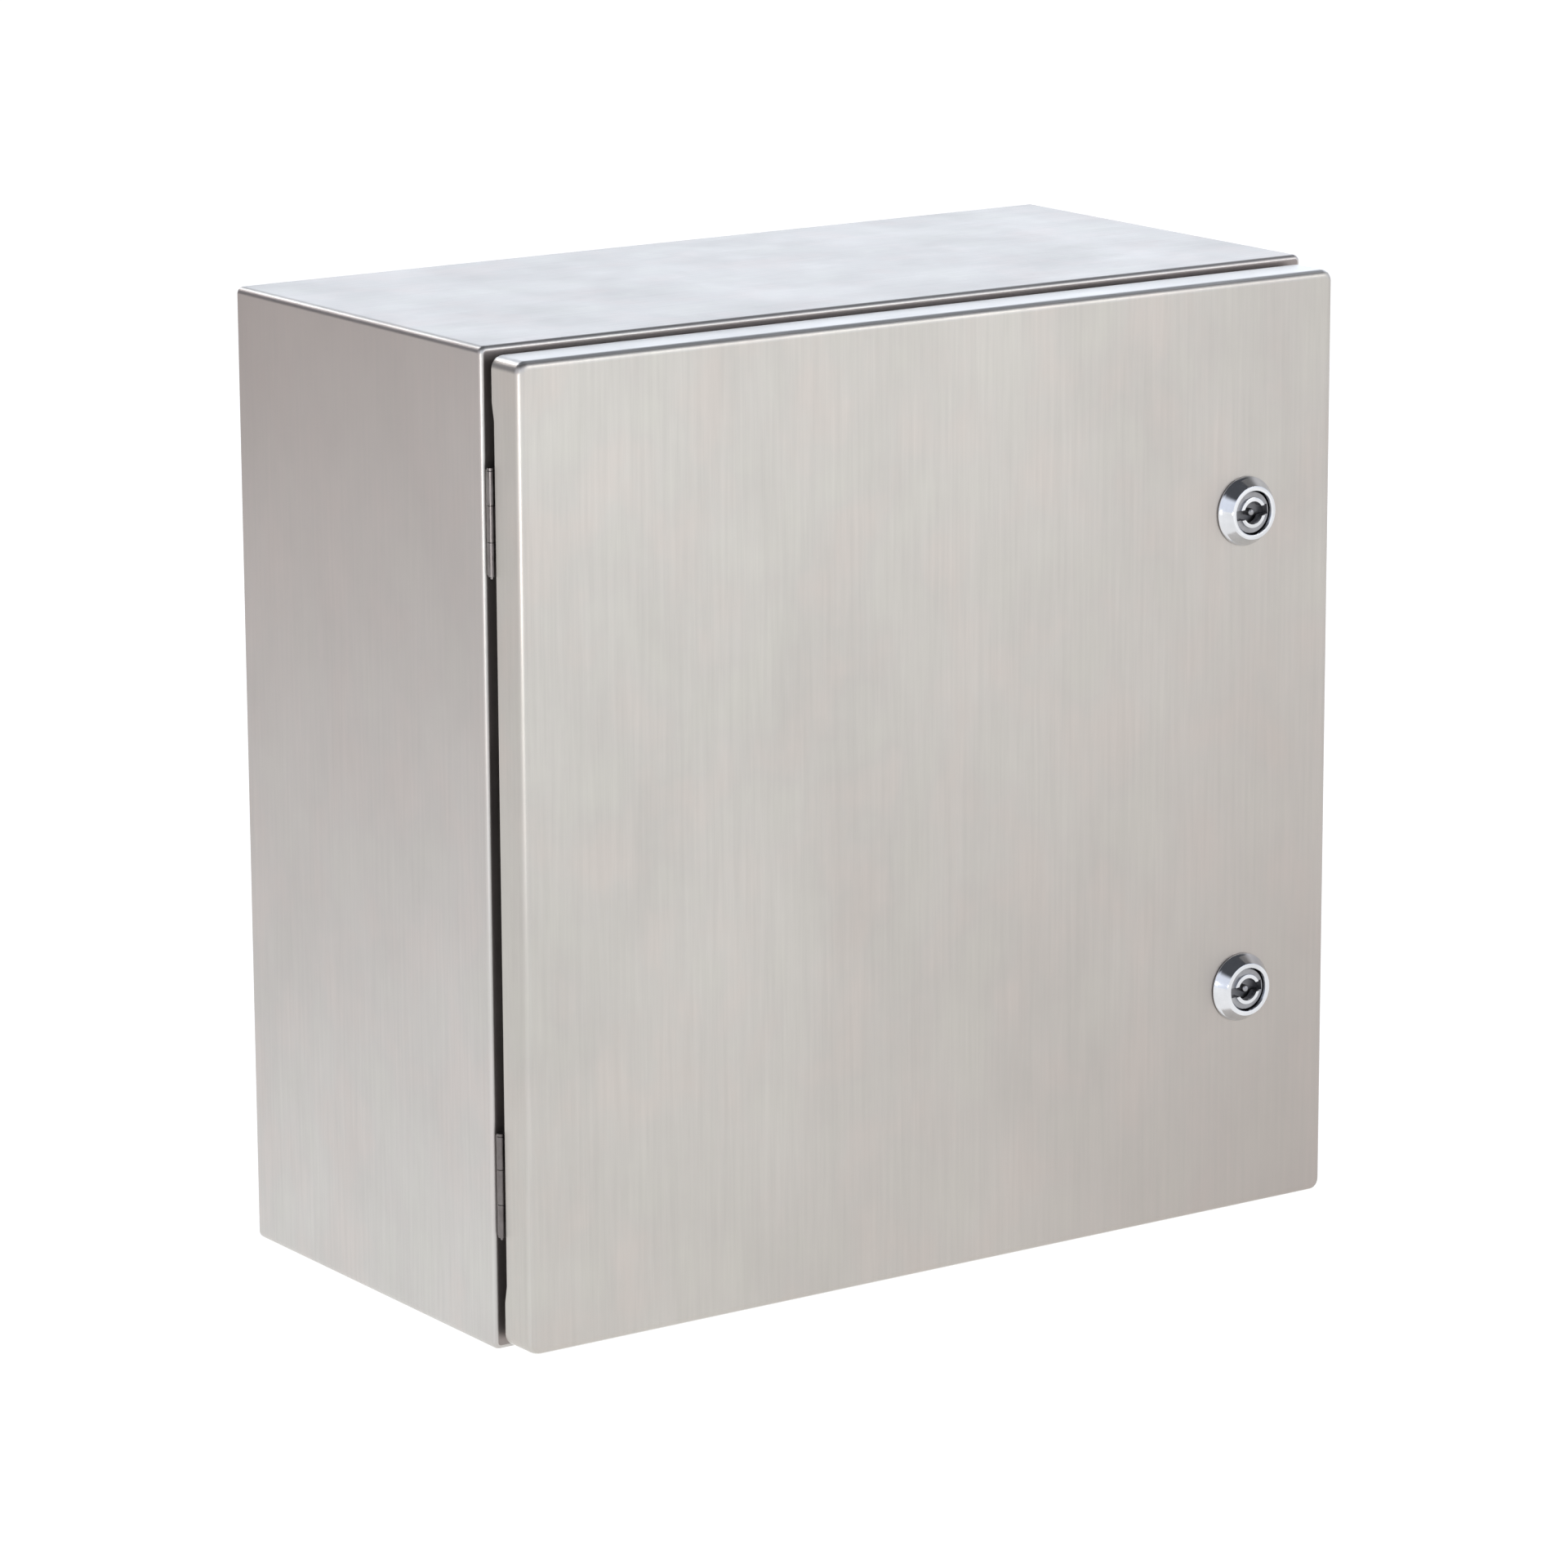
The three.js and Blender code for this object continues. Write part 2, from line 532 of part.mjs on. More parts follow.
function lock(place, z) {
  const nutY = [SHEET + GAP - DEPTH, SHEET + GAP + LOCK_NUT.thick - DEPTH];
  const bore = rodY(LOCK_NUT.bore, [nutY[0] - 1, nutY[1] + 1], LOCK_X, z, ROUND);
  const nut = cut(hexY(LOCK_NUT.flats, nutY, LOCK_X, z), bore);
  return {
    fixed: [
      piece(`lock_housing_${place}`, lockHousing(z), "chrome"),
      piece(`lock_nut_${place}`, nut, "zinc"),
    ],
    turning: [
      piece(`lock_insert_${place}`, lockInsert(z), "chrome"),
      piece(`lock_cam_${place}`, lockCam(z), "zinc"),
      piece(`cam_screw_${place}`, camScrew(z), "zinc"),
    ],
  };
}

// ---------------------------------------------------------------- fuse switch

// The Y range of a pair of depths measured forward from the mounting plate's face.
const depth = ([near, far]) => [PLATE_Y[0] - far, PLATE_Y[0] - near];
const height = ([low, high]) => [SWITCH_Z + low, SWITCH_Z + high];
const poleX = (pole) => (POLES.indexOf(pole) - 1) * POLE_PITCH;

// A block of the switch, from its X range, depth range and height range.
const switchBlock = (x, d, z) => block(x, depth(d), height(z));

const mirrored = ([low, high]) => [-high, -low];

function switchBase() {
  const side = [BASE_HALF_W - BASE_WALL, BASE_HALF_W];
  const sides = [side, mirrored(side)];
  const fullZ = [-BASE_HALF_H, BASE_HALF_H];
  const floor = switchBlock([-BASE_HALF_W, BASE_HALF_W], [GAP, BASE_TOP], fullZ);
  const walls = sides.map((x) => switchBlock(x, [BASE_TOP - 1, WALL_TOP], fullZ));
  const barriers = [-POLE_PITCH / 2, POLE_PITCH / 2].map((x) => {
    return switchBlock([x - BARRIER.half, x + BARRIER.half], [BASE_TOP - 1, BARRIER.top], fullZ);
  });
  const ears = sides.map((x) => switchBlock(x, [WALL_TOP - 1, EAR_TOP], EAR_Z));
  const across = [-BASE_HALF_W - 1, BASE_HALF_W + 1];
  const pivot = rodX(PIVOT_HOLE_R, across, PLATE_Y[0] - PIVOT_D, SWITCH_Z + PIVOT_Z);
  const boltHoles = POLES.flatMap((pole) =>
    [-TERMINAL_Z, TERMINAL_Z].map((z) => {
      return rodY(BOLT_HOLE.radius, depth([BOLT_HOLE.from, BASE_TOP + 1]), poleX(pole), SWITCH_Z + z);
    }),
  );
  const base = join(floor, ...walls, ...barriers, ...ears);
  return piece("switch_base", cut(base, pivot, ...boltHoles), "dark_plastic");
}

// A spring contact for one fuse blade, with its terminal strap, and the bolt that clamps the cable.
// side is 1 for the line end, above, and -1 for the load end.
function terminal(pole, end, side) {
  const x = poleX(pole);
  const boltZ = SWITCH_Z + side * TERMINAL_Z;
  const along = ([near, far]) => (side > 0 ? [near, far] : [-far, -near]);
  const strapD = [BASE_TOP + GAP, BASE_TOP + GAP + STRAP.thick];
  const strapX = [x - STRAP.halfWidth, x + STRAP.halfWidth];
  const strap = switchBlock(strapX, strapD, along([STRAP.from, STRAP.to]));
  const arms = CONTACT_ARM.offsets.map((offset) => {
    const armX = [x + offset, x + offset + CONTACT_ARM.thick];
    return switchBlock(armX, [strapD[0], CONTACT_ARM.top], along(CONTACT_ARM.z));
  });
  const hole = rodY(STRAP.hole, depth([BASE_TOP, BASE_TOP + 5]), x, boltZ);
  const washerD = [strapD[1] + GAP, strapD[1] + GAP + TERMINAL_BOLT.washerThick];
  const bolt = join(
    rodY(TERMINAL_BOLT.washer, depth(washerD), x, boltZ),
    hexY(TERMINAL_BOLT.flats, depth([washerD[1] - 0.5, washerD[1] + TERMINAL_BOLT.head]), x, boltZ),
    rodY(TERMINAL_BOLT.radius, depth([TERMINAL_BOLT.from, washerD[1]]), x, boltZ),
  );
  return [
    piece(`contact_${pole}_${end}`, cut(join(strap, ...arms), hole), "silver"),
    piece(`terminal_bolt_${pole}_${end}`, bolt, "zinc"),
  ];
}

function terminalCover(end, side) {
  const z = side > 0 ? COVER.z : mirrored(COVER.z);
  const face = switchBlock([-COVER.halfWidth, COVER.halfWidth], COVER.depths, z);
  const through = depth([COVER.depths[0] - 5, COVER.depths[1] + 2.3]);
  const testHoles = POLES.map((pole) => rodY(COVER.hole, through, poleX(pole), SWITCH_Z + side * TERMINAL_Z));
  return piece(`terminal_cover_${end}`, cut(face, ...testHoles), "grey_plastic");
}

// A block with a T-shaped slot, which takes one pull lug of a fuse link.
function lugHook(x, z) {
  const [back, slotBack, slotFront] = HOOK.depths;
  const through = [z[0] - 1, z[1] + 1];
  const across = (half) => [x - half, x + half];
  const grip = switchBlock(across(HOOK.halfWidth), [back, CARRIER_D[1] - 1], z);
  const slot = switchBlock(across(HOOK.slot), [slotBack, slotFront], through);
  const mouth = switchBlock(across(HOOK.mouth), [back - 1, slotBack + 0.3], through);
  return cut(grip, slot, mouth);
}

// A hinged lid with a pull handle. It holds the fuse links by their lugs and pivots at its lower edge.
function fuseCarrier() {
  const [back, front] = CARRIER_D;
  const lid = switchBlock([-LID_HALF_W, LID_HALF_W], CARRIER_D, LID_Z);
  const innerX = LID_HALF_W - LID_WALL;
  const innerZ = [LID_Z[0] + LID_WALL, LID_Z[1] - LID_WALL];
  const hollow = switchBlock([-innerX, innerX], [back - 1, front - LID_WALL], innerZ);
  const windowX = [-WINDOW.halfWidth, WINDOW.halfWidth];
  const windowHole = switchBlock(windowX, [front - 5, front + 1], [-WINDOW.halfHeight, WINDOW.halfHeight]);
  const legs = [-HANDLE.outer, HANDLE.outer - HANDLE.leg].map((x) => {
    return switchBlock([x, x + HANDLE.leg], [front - 1, HANDLE.front], HANDLE.z);
  });
  const barD = [HANDLE.front - HANDLE.leg, HANDLE.front];
  const bar = switchBlock([-HANDLE.outer, HANDLE.outer], barD, HANDLE.z);
  const hooks = POLES.flatMap((pole) => [HOOK_Z, mirrored(HOOK_Z)].map((z) => lugHook(poleX(pole), z)));
  const y = PLATE_Y[0] - PIVOT_D;
  const z = SWITCH_Z + PIVOT_Z;
  const lugs = [PIVOT_EAR.x, mirrored(PIVOT_EAR.x)].map((x) =>
    join(rodX(PIVOT_EAR.radius, x, y, z), switchBlock(x, PIVOT_EAR.depths, [PIVOT_Z, PIVOT_EAR.top])),
  );
  const trunnions = [TRUNNION.x, mirrored(TRUNNION.x)].map((x) => rodX(TRUNNION.radius, x, y, z));
  return piece(
    "fuse_carrier",
    join(cut(lid, hollow, windowHole), ...hooks, ...legs, bar, ...lugs, ...trunnions),
    "grey_plastic",
  );
}

function carrierWindow() {
  const inner = CARRIER_D[1] - LID_WALL - GAP;
  const halfX = WINDOW.halfWidth + WINDOW.lap;
  const halfZ = WINDOW.halfHeight + WINDOW.lapZ;
  const pane = switchBlock([-halfX, halfX], [inner - WINDOW.thick, inner], [-halfZ, halfZ]);
  return piece("carrier_window", pane, "window");
}

// A knife-blade fuse link: a ceramic body with a blade at each end and two pull lugs at the front.
function fuseLink(pole) {
  const x = poleX(pole);
  const across = (half) => [x - half, x + half];
  const body = switchBlock(across(FUSE_HALF_W), FUSE_BODY_D, [-FUSE_BODY_Z, FUSE_BODY_Z]);
  const blade = switchBlock(across(BLADE_HALF), BLADE_D, [-FUSE_END_Z, FUSE_END_Z]);
  const lugs = [LUG_Z, mirrored(LUG_Z)].flatMap((z) => [
    switchBlock(across(BLADE_HALF), [FUSE_BODY_D[1] - 1, LUG_HEAD.depths[1]], z),
    switchBlock(across(LUG_HEAD.halfWidth), LUG_HEAD.depths, z),
  ]);
  return piece(`fuse_link_${pole}`, join(body, blade, ...lugs), "ceramic");
}

// ---------------------------------------------------------------- earth and neutral bars

// A copper bar bent back to a foot at each end.
function earthBar() {
  const [top, plateSide] = depth([GAP, EARTH.front]);
  const { thick, foot } = EARTH;
  const [left, right] = EARTH.x;
  const shape = new THREE.Shape();
  shape.moveTo(left, plateSide);
  shape.lineTo(left, plateSide - thick);
  shape.lineTo(left + foot, plateSide - thick);
  shape.lineTo(left + foot, top);
  shape.lineTo(right - foot, top);
  shape.lineTo(right - foot, plateSide - thick);
  shape.lineTo(right, plateSide - thick);
  shape.lineTo(right, plateSide);
  shape.lineTo(right - foot - thick, plateSide);
  shape.lineTo(right - foot - thick, top + thick);
  shape.lineTo(left + foot + thick, top + thick);
  shape.lineTo(left + foot + thick, plateSide);
  const bar = new THREE.ExtrudeGeometry(shape, { depth: BAR_Z[1] - BAR_Z[0], bevelEnabled: false });
  return piece("earth_bar", solid(bar.translate(0, 0, BAR_Z[0])), "copper");
}

function neutralBar() {
  const bar = block(NEUTRAL.x, depth(NEUTRAL.depths), BAR_Z);
  const insulator = join(
    block(NEUTRAL.x, depth([GAP, INSULATOR.base]), BAR_Z),
    ...INSULATOR.posts.map((x) => block(x, depth([INSULATOR.base - 1, INSULATOR.top]), BAR_Z)),
  );
  return [piece("neutral_bar", bar, "copper"), piece("neutral_insulator", insulator, "blue_plastic")];
}

// ---------------------------------------------------------------- assembly

const hinges = [hinge("upper", HINGE_Z), hinge("lower", -HINGE_Z)];
const locks = [lock("upper", LOCK_Z), lock("lower", -LOCK_Z)];

const door = new THREE.Group();
door.add(doorPanel(), doorGasket());
for (const [, doorLeaf] of hinges) door.add(doorLeaf);
for (const { fixed, turning } of locks) door.add(...fixed, ...turning);

const carrier = new THREE.Group();
carrier.add(fuseCarrier(), carrierWindow(), ...POLES.map(fuseLink));

const fuseSwitch = new THREE.Group();
fuseSwitch.add(switchBase(), terminalCover("line", 1), terminalCover("load", -1), carrier);
for (const pole of POLES) fuseSwitch.add(...terminal(pole, "line", 1), ...terminal(pole, "load", -1));

const disconnect = new THREE.Group();
disconnect.add(enclosureShell(), ...glandSet(), ...wallPlugs(), ...mountingPlate());
for (const [bodyLeaf, , pin] of hinges) disconnect.add(bodyLeaf, pin);
disconnect.add(fuseSwitch, earthBar(), ...neutralBar(), door);

export default disconnect;
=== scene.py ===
"""The looks of a fused disconnect switch in a stainless steel wall enclosure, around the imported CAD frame.

Lengths are millimetres, in the CAD's frame: +Z is up, -Y is the front, and the rear wall's outer face is at
y = 0. MM turns them into Blender's metres where a mesh is made. The camera and lights are placed in metres.
"""

import math

import bmesh
import bpy
from mathutils import Matrix, Vector


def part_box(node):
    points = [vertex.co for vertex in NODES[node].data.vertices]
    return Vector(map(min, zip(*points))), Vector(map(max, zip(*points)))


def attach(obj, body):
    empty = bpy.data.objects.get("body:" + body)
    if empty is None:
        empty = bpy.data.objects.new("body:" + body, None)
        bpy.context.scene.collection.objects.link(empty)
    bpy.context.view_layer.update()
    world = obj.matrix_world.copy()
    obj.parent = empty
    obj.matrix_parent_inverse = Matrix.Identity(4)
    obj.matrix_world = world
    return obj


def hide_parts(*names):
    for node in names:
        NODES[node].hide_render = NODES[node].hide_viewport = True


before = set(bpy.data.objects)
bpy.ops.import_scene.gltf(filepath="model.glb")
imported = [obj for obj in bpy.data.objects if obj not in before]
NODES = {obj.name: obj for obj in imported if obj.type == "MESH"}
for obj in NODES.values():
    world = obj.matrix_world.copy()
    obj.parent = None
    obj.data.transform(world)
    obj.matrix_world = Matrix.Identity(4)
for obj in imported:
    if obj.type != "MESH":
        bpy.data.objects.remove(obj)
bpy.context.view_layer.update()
MM = 0.001

# ---------------------------------------------------------------- sizes, from the frame


def extent(node):
    """The lowest and highest corner of a CAD node, in millimetres."""
    low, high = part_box(node)
    return low / MM, high / MM


SHELL_LOW, SHELL_HIGH = extent("enclosure_shell")
DOOR_LOW, DOOR_HIGH = extent("door_panel")
PLATE_FRONT = extent("mounting_plate")[0].y
SHEET = 1.5
FLANGE = 14
FLANGE_Y = -186  # the body's front flange
POLES = ["l1", "l2", "l3"]
PLACES = ["upper", "lower"]
PLATE_CORNERS = ("lower_left", "lower_right", "upper_left", "upper_right")
GLAND_CORNERS = ("front_left", "front_right", "rear_left", "rear_right")

# ---------------------------------------------------------------- mesh building


def arc(centre, radius, start, end, steps):
    """Points of an arc, angles in degrees, both ends included."""
    angles = [math.radians(start + (end - start) * i / steps) for i in range(steps + 1)]
    return [(centre[0] + radius * math.cos(a), centre[1] + radius * math.sin(a)) for a in angles]


def circle(radius, centre=(0, 0), steps=64):
    """Points of a whole circle, none of them twice."""
    return arc(centre, radius, 0, 360, steps)[:-1]


def rounded(points, radius, steps=4):
    """The closed outline with each corner rounded to the radius, or to as much of it as fits."""
    result = []
    count = len(points)
    for i, point in enumerate(points):
        corner = Vector(point)
        before = Vector(points[i - 1]) - corner
        after = Vector(points[(i + 1) % count]) - corner
        half = before.angle(after) / 2
        reach = min(radius / math.tan(half), before.length * 0.49, after.length * 0.49)
        if reach < 1e-4 or abs(half - math.pi / 2) < 1e-3:
            result.append(tuple(corner))
            continue
        a = corner + before.normalized() * reach
        b = corner + after.normalized() * reach
        for k in range(steps + 1):
            t = k / steps
            result.append(tuple(a.lerp(corner, t).lerp(corner.lerp(b, t), t)))
    return result


def rectangle(half_x, half_z, centre=(0, 0), corner=0.0):
    """A rectangle's outline. corner is the radius of its corners."""
    x, z = centre
    signs = ((1, -1), (1, 1), (-1, 1), (-1, -1))
    points = [(x + sign_x * half_x, z + sign_z * half_z) for sign_x, sign_z in signs]
    return rounded(points, corner, 5) if corner else points


def new_piece(name, mesh):
    piece = bpy.data.objects.new(name, mesh)
    bpy.context.scene.collection.objects.link(piece)
    return piece


def from_bmesh(name, bm):
    bmesh.ops.recalc_face_normals(bm, faces=bm.faces)
    mesh = bpy.data.meshes.new(name)
    bm.to_mesh(mesh)
    bm.free()
    return new_piece(name, mesh)


def loft(name, rings, cyclic=False):
    """A skin through rings of points in millimetres. Every ring has as many points. The ends are capped."""
    bm = bmesh.new()
    loops = [[bm.verts.new(Vector(p) * MM) for p in ring] for ring in rings]
    pairs = list(zip(loops, loops[1:]))
    if cyclic:
        pairs.append((loops[-1], loops[0]))
    for a, b in pairs:
        for i in range(len(a)):
            j = (i + 1) % len(a)
            bm.faces.new((a[i], a[j], b[j], b[i]))
    if not cyclic:
        bm.faces.new(loops[0])
        bm.faces.new(loops[-1])
    return from_bmesh(name, bm)


def sheet_ring(half_x, half_z, corner, inset, y, centre=(0, 0), steps=6):
    """One ring of a box: a rounded rectangle at y, drawn in from the outline by inset."""
    radius = max(corner - inset, 0.35)
    points = []
    for sign_x, sign_z, start in ((1, 1, 0), (-1, 1, 90), (-1, -1, 180), (1, -1, 270)):
        middle = (
            centre[0] + sign_x * (half_x - inset - radius),
            centre[1] + sign_z * (half_z - inset - radius),
        )
        points += arc(middle, radius, start, start + 90, steps)
    return [(x, y, z) for x, z in points]


def fillet(radius, y, towards, steps=5):
    """(inset, y) pairs of a quarter round from a face at y to the sides, which run towards +Y or -Y."""
    turns = [math.pi / 2 * i / steps for i in range(steps + 1)]
    return [(radius * (1 - math.sin(t)), y + towards * radius * (1 - math.cos(t))) for t in turns]


def turned(name, profile, x, z, steps=64):
    """A solid of revolution about a line parallel to Y. The profile is (radius, y). Its ends lie on the axis,
    or it closes on itself."""
    bm = bmesh.new()
    loops = []
    for radius, y in profile:
        if radius < 1e-6:
            loops.append([bm.verts.new(Vector((x, y, z)) * MM)])
        else:
            points = circle(radius, (x, z), steps)
            loops.append([bm.verts.new(Vector((px, y, pz)) * MM) for px, pz in points])
    closed = len(loops[0]) > 1
    pairs = list(zip(loops, loops[1:] + loops[:1])) if closed else list(zip(loops, loops[1:]))
    for a, b in pairs:
        for i in range(steps):
            j = (i + 1) % steps
            if len(a) == 1:
                bm.faces.new((a[0], b[j], b[i]))
            elif len(b) == 1:
                bm.faces.new((a[i], a[j], b[0]))
            else:
                bm.faces.new((a[i], a[j], b[j], b[i]))
    return from_bmesh(name, bm)


def turned_upright(name, profile, x, y, steps=32):
    """A solid of revolution about a vertical line. The profile is (radius, z)."""
    piece = turned(name, profile, 0, 0, steps)
    upright = Matrix.Rotation(math.radians(90), 4, "X")
    piece.data.transform(Matrix.Translation(Vector((x, y, 0)) * MM) @ upright)
    return piece


def drill(radius, low, high, x, z, steps=64):
    """A round tool for a hole along Y."""
    return turned("hole", [(0, low), (radius, low), (radius, high), (0, high)], x, z, steps)


# Where the (u, v) of an outline and the thickness of its plate point.
FACING_FRONT = Matrix(((1, 0, 0, 0), (0, 0, -1, 0), (0, 1, 0, 0), (0, 0, 0, 1)))  # X and Z, and -Y
FACING_UP = Matrix.Identity(4)  # X and Y, and +Z
FACING_SIDE = Matrix(((0, 0, 1, 0), (1, 0, 0, 0), (0, 1, 0, 0), (0, 0, 0, 1)))  # Y and Z, and +X


def baked(piece):
    """The piece with its modifiers applied."""
    graph = bpy.context.evaluated_depsgraph_get()
    mesh = bpy.data.meshes.new_from_object(piece.evaluated_get(graph))
    mesh.materials.clear()
    name = piece.name
    bpy.data.objects.remove(piece)
    result = new_piece(name, mesh)
    result.name = name
    return result


SAME_PLACE = 0.001  # points nearer to each other than this are one


def plate(name, outlines, span, facing=FACING_FRONT, edge=0.3, round_steps=2):
    """A plate with rounded edges. outlines are closed loops of (u, v): the outside first, then the holes.
    span is its lowest and highest coordinate along the axis that it faces."""
    low, high = min(span), max(span)
    curve = bpy.data.curves.new(name, "CURVE")
    curve.dimensions = "2D"
    curve.fill_mode = "BOTH"
    curve.extrude = ((high - low) / 2 - edge) * MM
    curve.bevel_depth = edge * MM
    curve.bevel_resolution = round_steps
    curve.offset = -edge * MM
    for outline in outlines:
        spline = curve.splines.new("POLY")
        spline.points.add(len(outline) - 1)
        for point, (u, v) in zip(spline.points, outline):
            point.co = (u * MM, v * MM, 0, 1)
        spline.use_cyclic_u = True
    piece = baked(new_piece(name, curve))
    middle = (low + high) / 2 * MM
    along = facing.col[2].xyz
    sign = along.x + along.y + along.z
    piece.data.transform(Matrix.Translation(along * sign * middle) @ facing)
    weld(piece)
    return piece


def weld(piece):
    """Joins the points of a piece that lie in one place."""
    bm = bmesh.new()
    bm.from_mesh(piece.data)
    bmesh.ops.remove_doubles(bm, verts=bm.verts, dist=SAME_PLACE * MM)
    bmesh.ops.recalc_face_normals(bm, faces=bm.faces)
    bm.to_mesh(piece.data)
    bm.free()


def bar(name, x, y, z, edge=0.5):
    """A block with rounded edges, from its ranges along X, Y and Z."""
    bm = bmesh.new()
    size = Vector((x[1] - x[0], y[1] - y[0], z[1] - z[0]))
    middle = Vector((sum(x), sum(y), sum(z))) / 2
    matrix = Matrix.Translation(middle * MM) @ Matrix.Diagonal((*(size * MM), 1))
    bmesh.ops.create_cube(bm, size=1, matrix=matrix)
    bmesh.ops.bevel(bm, geom=bm.edges[:], offset=edge * MM, segments=2, profile=0.5, affect="EDGES")
    return from_bmesh(name, bm)


def cut(piece, tools):
    """The piece cut by the tools, which are used up."""
    for tool in tools:
        modifier = piece.modifiers.new("cut", "BOOLEAN")
        modifier.operation = "DIFFERENCE"
        modifier.solver = "EXACT"
        modifier.object = tool
    result = baked(piece)
    for tool in tools:
        bpy.data.objects.remove(tool)
    return result


def smooth(piece, angle=None):
    """Smooth shading, with large faces kept flat. If an angle is given, edges sharper than it stay crisp."""
    mesh = piece.data
    mesh.polygons.foreach_set("use_smooth", [True] * len(mesh.polygons))
    if angle:
        mesh.set_sharp_from_angle(angle=math.radians(angle))
    modifier = piece.modifiers.new("flat_faces", "WEIGHTED_NORMAL")
    modifier.keep_sharp = bool(angle)
    modifier.weight = 90


def add(piece, body, look, replaces=(), angle=35):
    """Finishes a new piece: shading, material, body, and the CAD nodes that it stands for."""
    smooth(piece, angle)
    piece.data.materials.clear()
    piece.data.materials.append(look)
    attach(piece, body)
    if replaces:
        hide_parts(*replaces)
    return piece


def keep(node, look, edge=0.3):
    """Gives a CAD node its material and rounds its edges."""
    piece = NODES[node]
    piece.data.materials.clear()
    piece.data.materials.append(look)
    modifier = piece.modifiers.new("rounded_edges", "BEVEL")
    modifier.width = edge * MM
    modifier.segments = 2
    modifier.limit_method = "ANGLE"
    modifier.angle_limit = math.radians(40)
    modifier.use_clamp_overlap = True
    modifier.harden_normals = False
    smooth(piece)


# ---------------------------------------------------------------- materials


class Look:
    """A material being built: its nodes, its links and its one Principled shader."""

    def __init__(self, name, **values):
        self.material = bpy.data.materials.new(name)
        self.material.use_nodes = True
        self.tree = self.material.node_tree
        self.shader = self.tree.nodes["Principled BSDF"]
        for key, value in values.items():
            self.set(key.replace("_", " "), value)

    def set(self, socket, value):
        target = self.shader.inputs[socket]
        if isinstance(value, bpy.types.NodeSocket):
            self.tree.links.new(value, target)
        elif isinstance(value, tuple) and len(value) == 3:
            target.default_value = (*value, 1)
        else:
            target.default_value = value

    def node(self, kind, settings=None, **inputs):
        made = self.tree.nodes.new(kind)
        for key, value in (settings or {}).items():
            setattr(made, key, value)
        for key, value in inputs.items():
            socket = made.inputs[int(key[1:]) if key[0] == "i" and key[1:].isdigit() else key]
            if isinstance(value, bpy.types.NodeSocket):
                self.tree.links.new(value, socket)
            else:
                socket.default_value = value
        return made

    def place(self):
        """Where the surface is, in metres, in the piece's own frame."""
        return self.node("ShaderNodeTexCoord").outputs["Object"]

    def split(self, vector):
        """A Separate XYZ node over a vector."""
        return self.node("ShaderNodeSeparateXYZ", None, Vector=vector)

    def normal(self):
        """A Separate XYZ node over the surface's normal."""
        return self.split(self.node("ShaderNodeNewGeometry").outputs["Normal"])

    def faces_along(self, normal, axis, least=0.7):
        """1 where the surface faces along an axis, either way, and 0 elsewhere."""
        return self.maths("GREATER_THAN", self.maths("ABSOLUTE", normal.outputs[axis]), least)

    def noise(self, stretch, detail=3.0, rough=0.55):
        """Noise over the piece's own place; stretch is how many features fit in a metre along X, Y and Z."""
        mapping = self.node("ShaderNodeMapping", None, Vector=self.place(), Scale=stretch)
        settings = {"Scale": 1.0, "Detail": detail, "Roughness": rough}
        return self.node("ShaderNodeTexNoise", None, Vector=mapping.outputs[0], **settings).outputs["Fac"]

    def maths(self, operation, a, b=0.0, c=0.0):
        return self.node("ShaderNodeMath", {"operation": operation}, i0=a, i1=b, i2=c).outputs[0]

    def spread(self, source, low, high, from_low=0.3, from_high=0.7):
        """source, which swings about a half, brought to the range from low to high."""
        ends = {"From Min": from_low, "From Max": from_high, "To Min": low, "To Max": high}
        return self.node("ShaderNodeMapRange", None, Value=source, **ends).outputs[0]

    def blend(self, factor, a, b):
        """A colour between a and b."""
        made = self.node("ShaderNodeMix", {"data_type": "RGBA"}, i0=factor)
        for socket, value in ((made.inputs[6], a), (made.inputs[7], b)):
            if isinstance(value, bpy.types.NodeSocket):
                self.tree.links.new(value, socket)
            else:
                socket.default_value = (*value, 1)
        return made.outputs[2]

    def pick(self, factor, a, b):
        """A number between a and b."""
        return self.node("ShaderNodeMix", {"data_type": "FLOAT"}, i0=factor, i2=a, i3=b).outputs[0]

    def colour(self, source, dark, light):
        """A base colour that swings between two with a noise."""
        self.set("Base Color", self.blend(self.spread(source, 0, 1), dark, light))

    def bump(self, height, distance, strength=1.0):
        made = self.node("ShaderNodeBump", None, Height=height, Distance=distance * MM, Strength=strength)
        self.tree.links.new(made.outputs[0], self.shader.inputs["Normal"])


def scaled(color, *factors):
    return tuple(value * factor for value, factor in zip(color, factors))


def painted_shade(look, normal, side_shade):
    """How much painted shade darkens the sheet at a place, from 0 to 1: painted shade darkens the ground
    sides towards their tops and the wall, and the front towards its lower right corner, where the studio's
    light and reflections fall off."""
    where = look.split(look.place())
    x, y, z = (where.outputs[axis] for axis in "XYZ")
    half = SHELL_HIGH.x * MM
    behind = look.spread(y, 0.0, 0.18, FLANGE_Y * MM, 0.0)
    up = look.spread(z, 0.0, 1.0, -half, half)
    right = look.maths("POWER", look.spread(x, 0.0, 1.0, -half, half), 1.3)
    sideways = look.faces_along(normal, "X")
    forward = look.faces_along(normal, "Y")
    behind = look.maths("MULTIPLY", behind, look.maths("POWER", up, 0.5))
    side = look.maths("MULTIPLY_ADD", look.maths("POWER", up, 1.2), side_shade, behind)
    low = look.maths("POWER", look.maths("SUBTRACT", 1.0, up), 1.2)
    corner = look.maths("MULTIPLY", right, look.maths("ADD", look.maths("MULTIPLY", low, 0.30), 0.23))
    front = look.maths("ADD", corner, look.maths("MULTIPLY", low, 0.14))
    shaded_sides = look.maths("MULTIPLY", sideways, side)
    return look.maths("MULTIPLY_ADD", forward, front, shaded_sides)


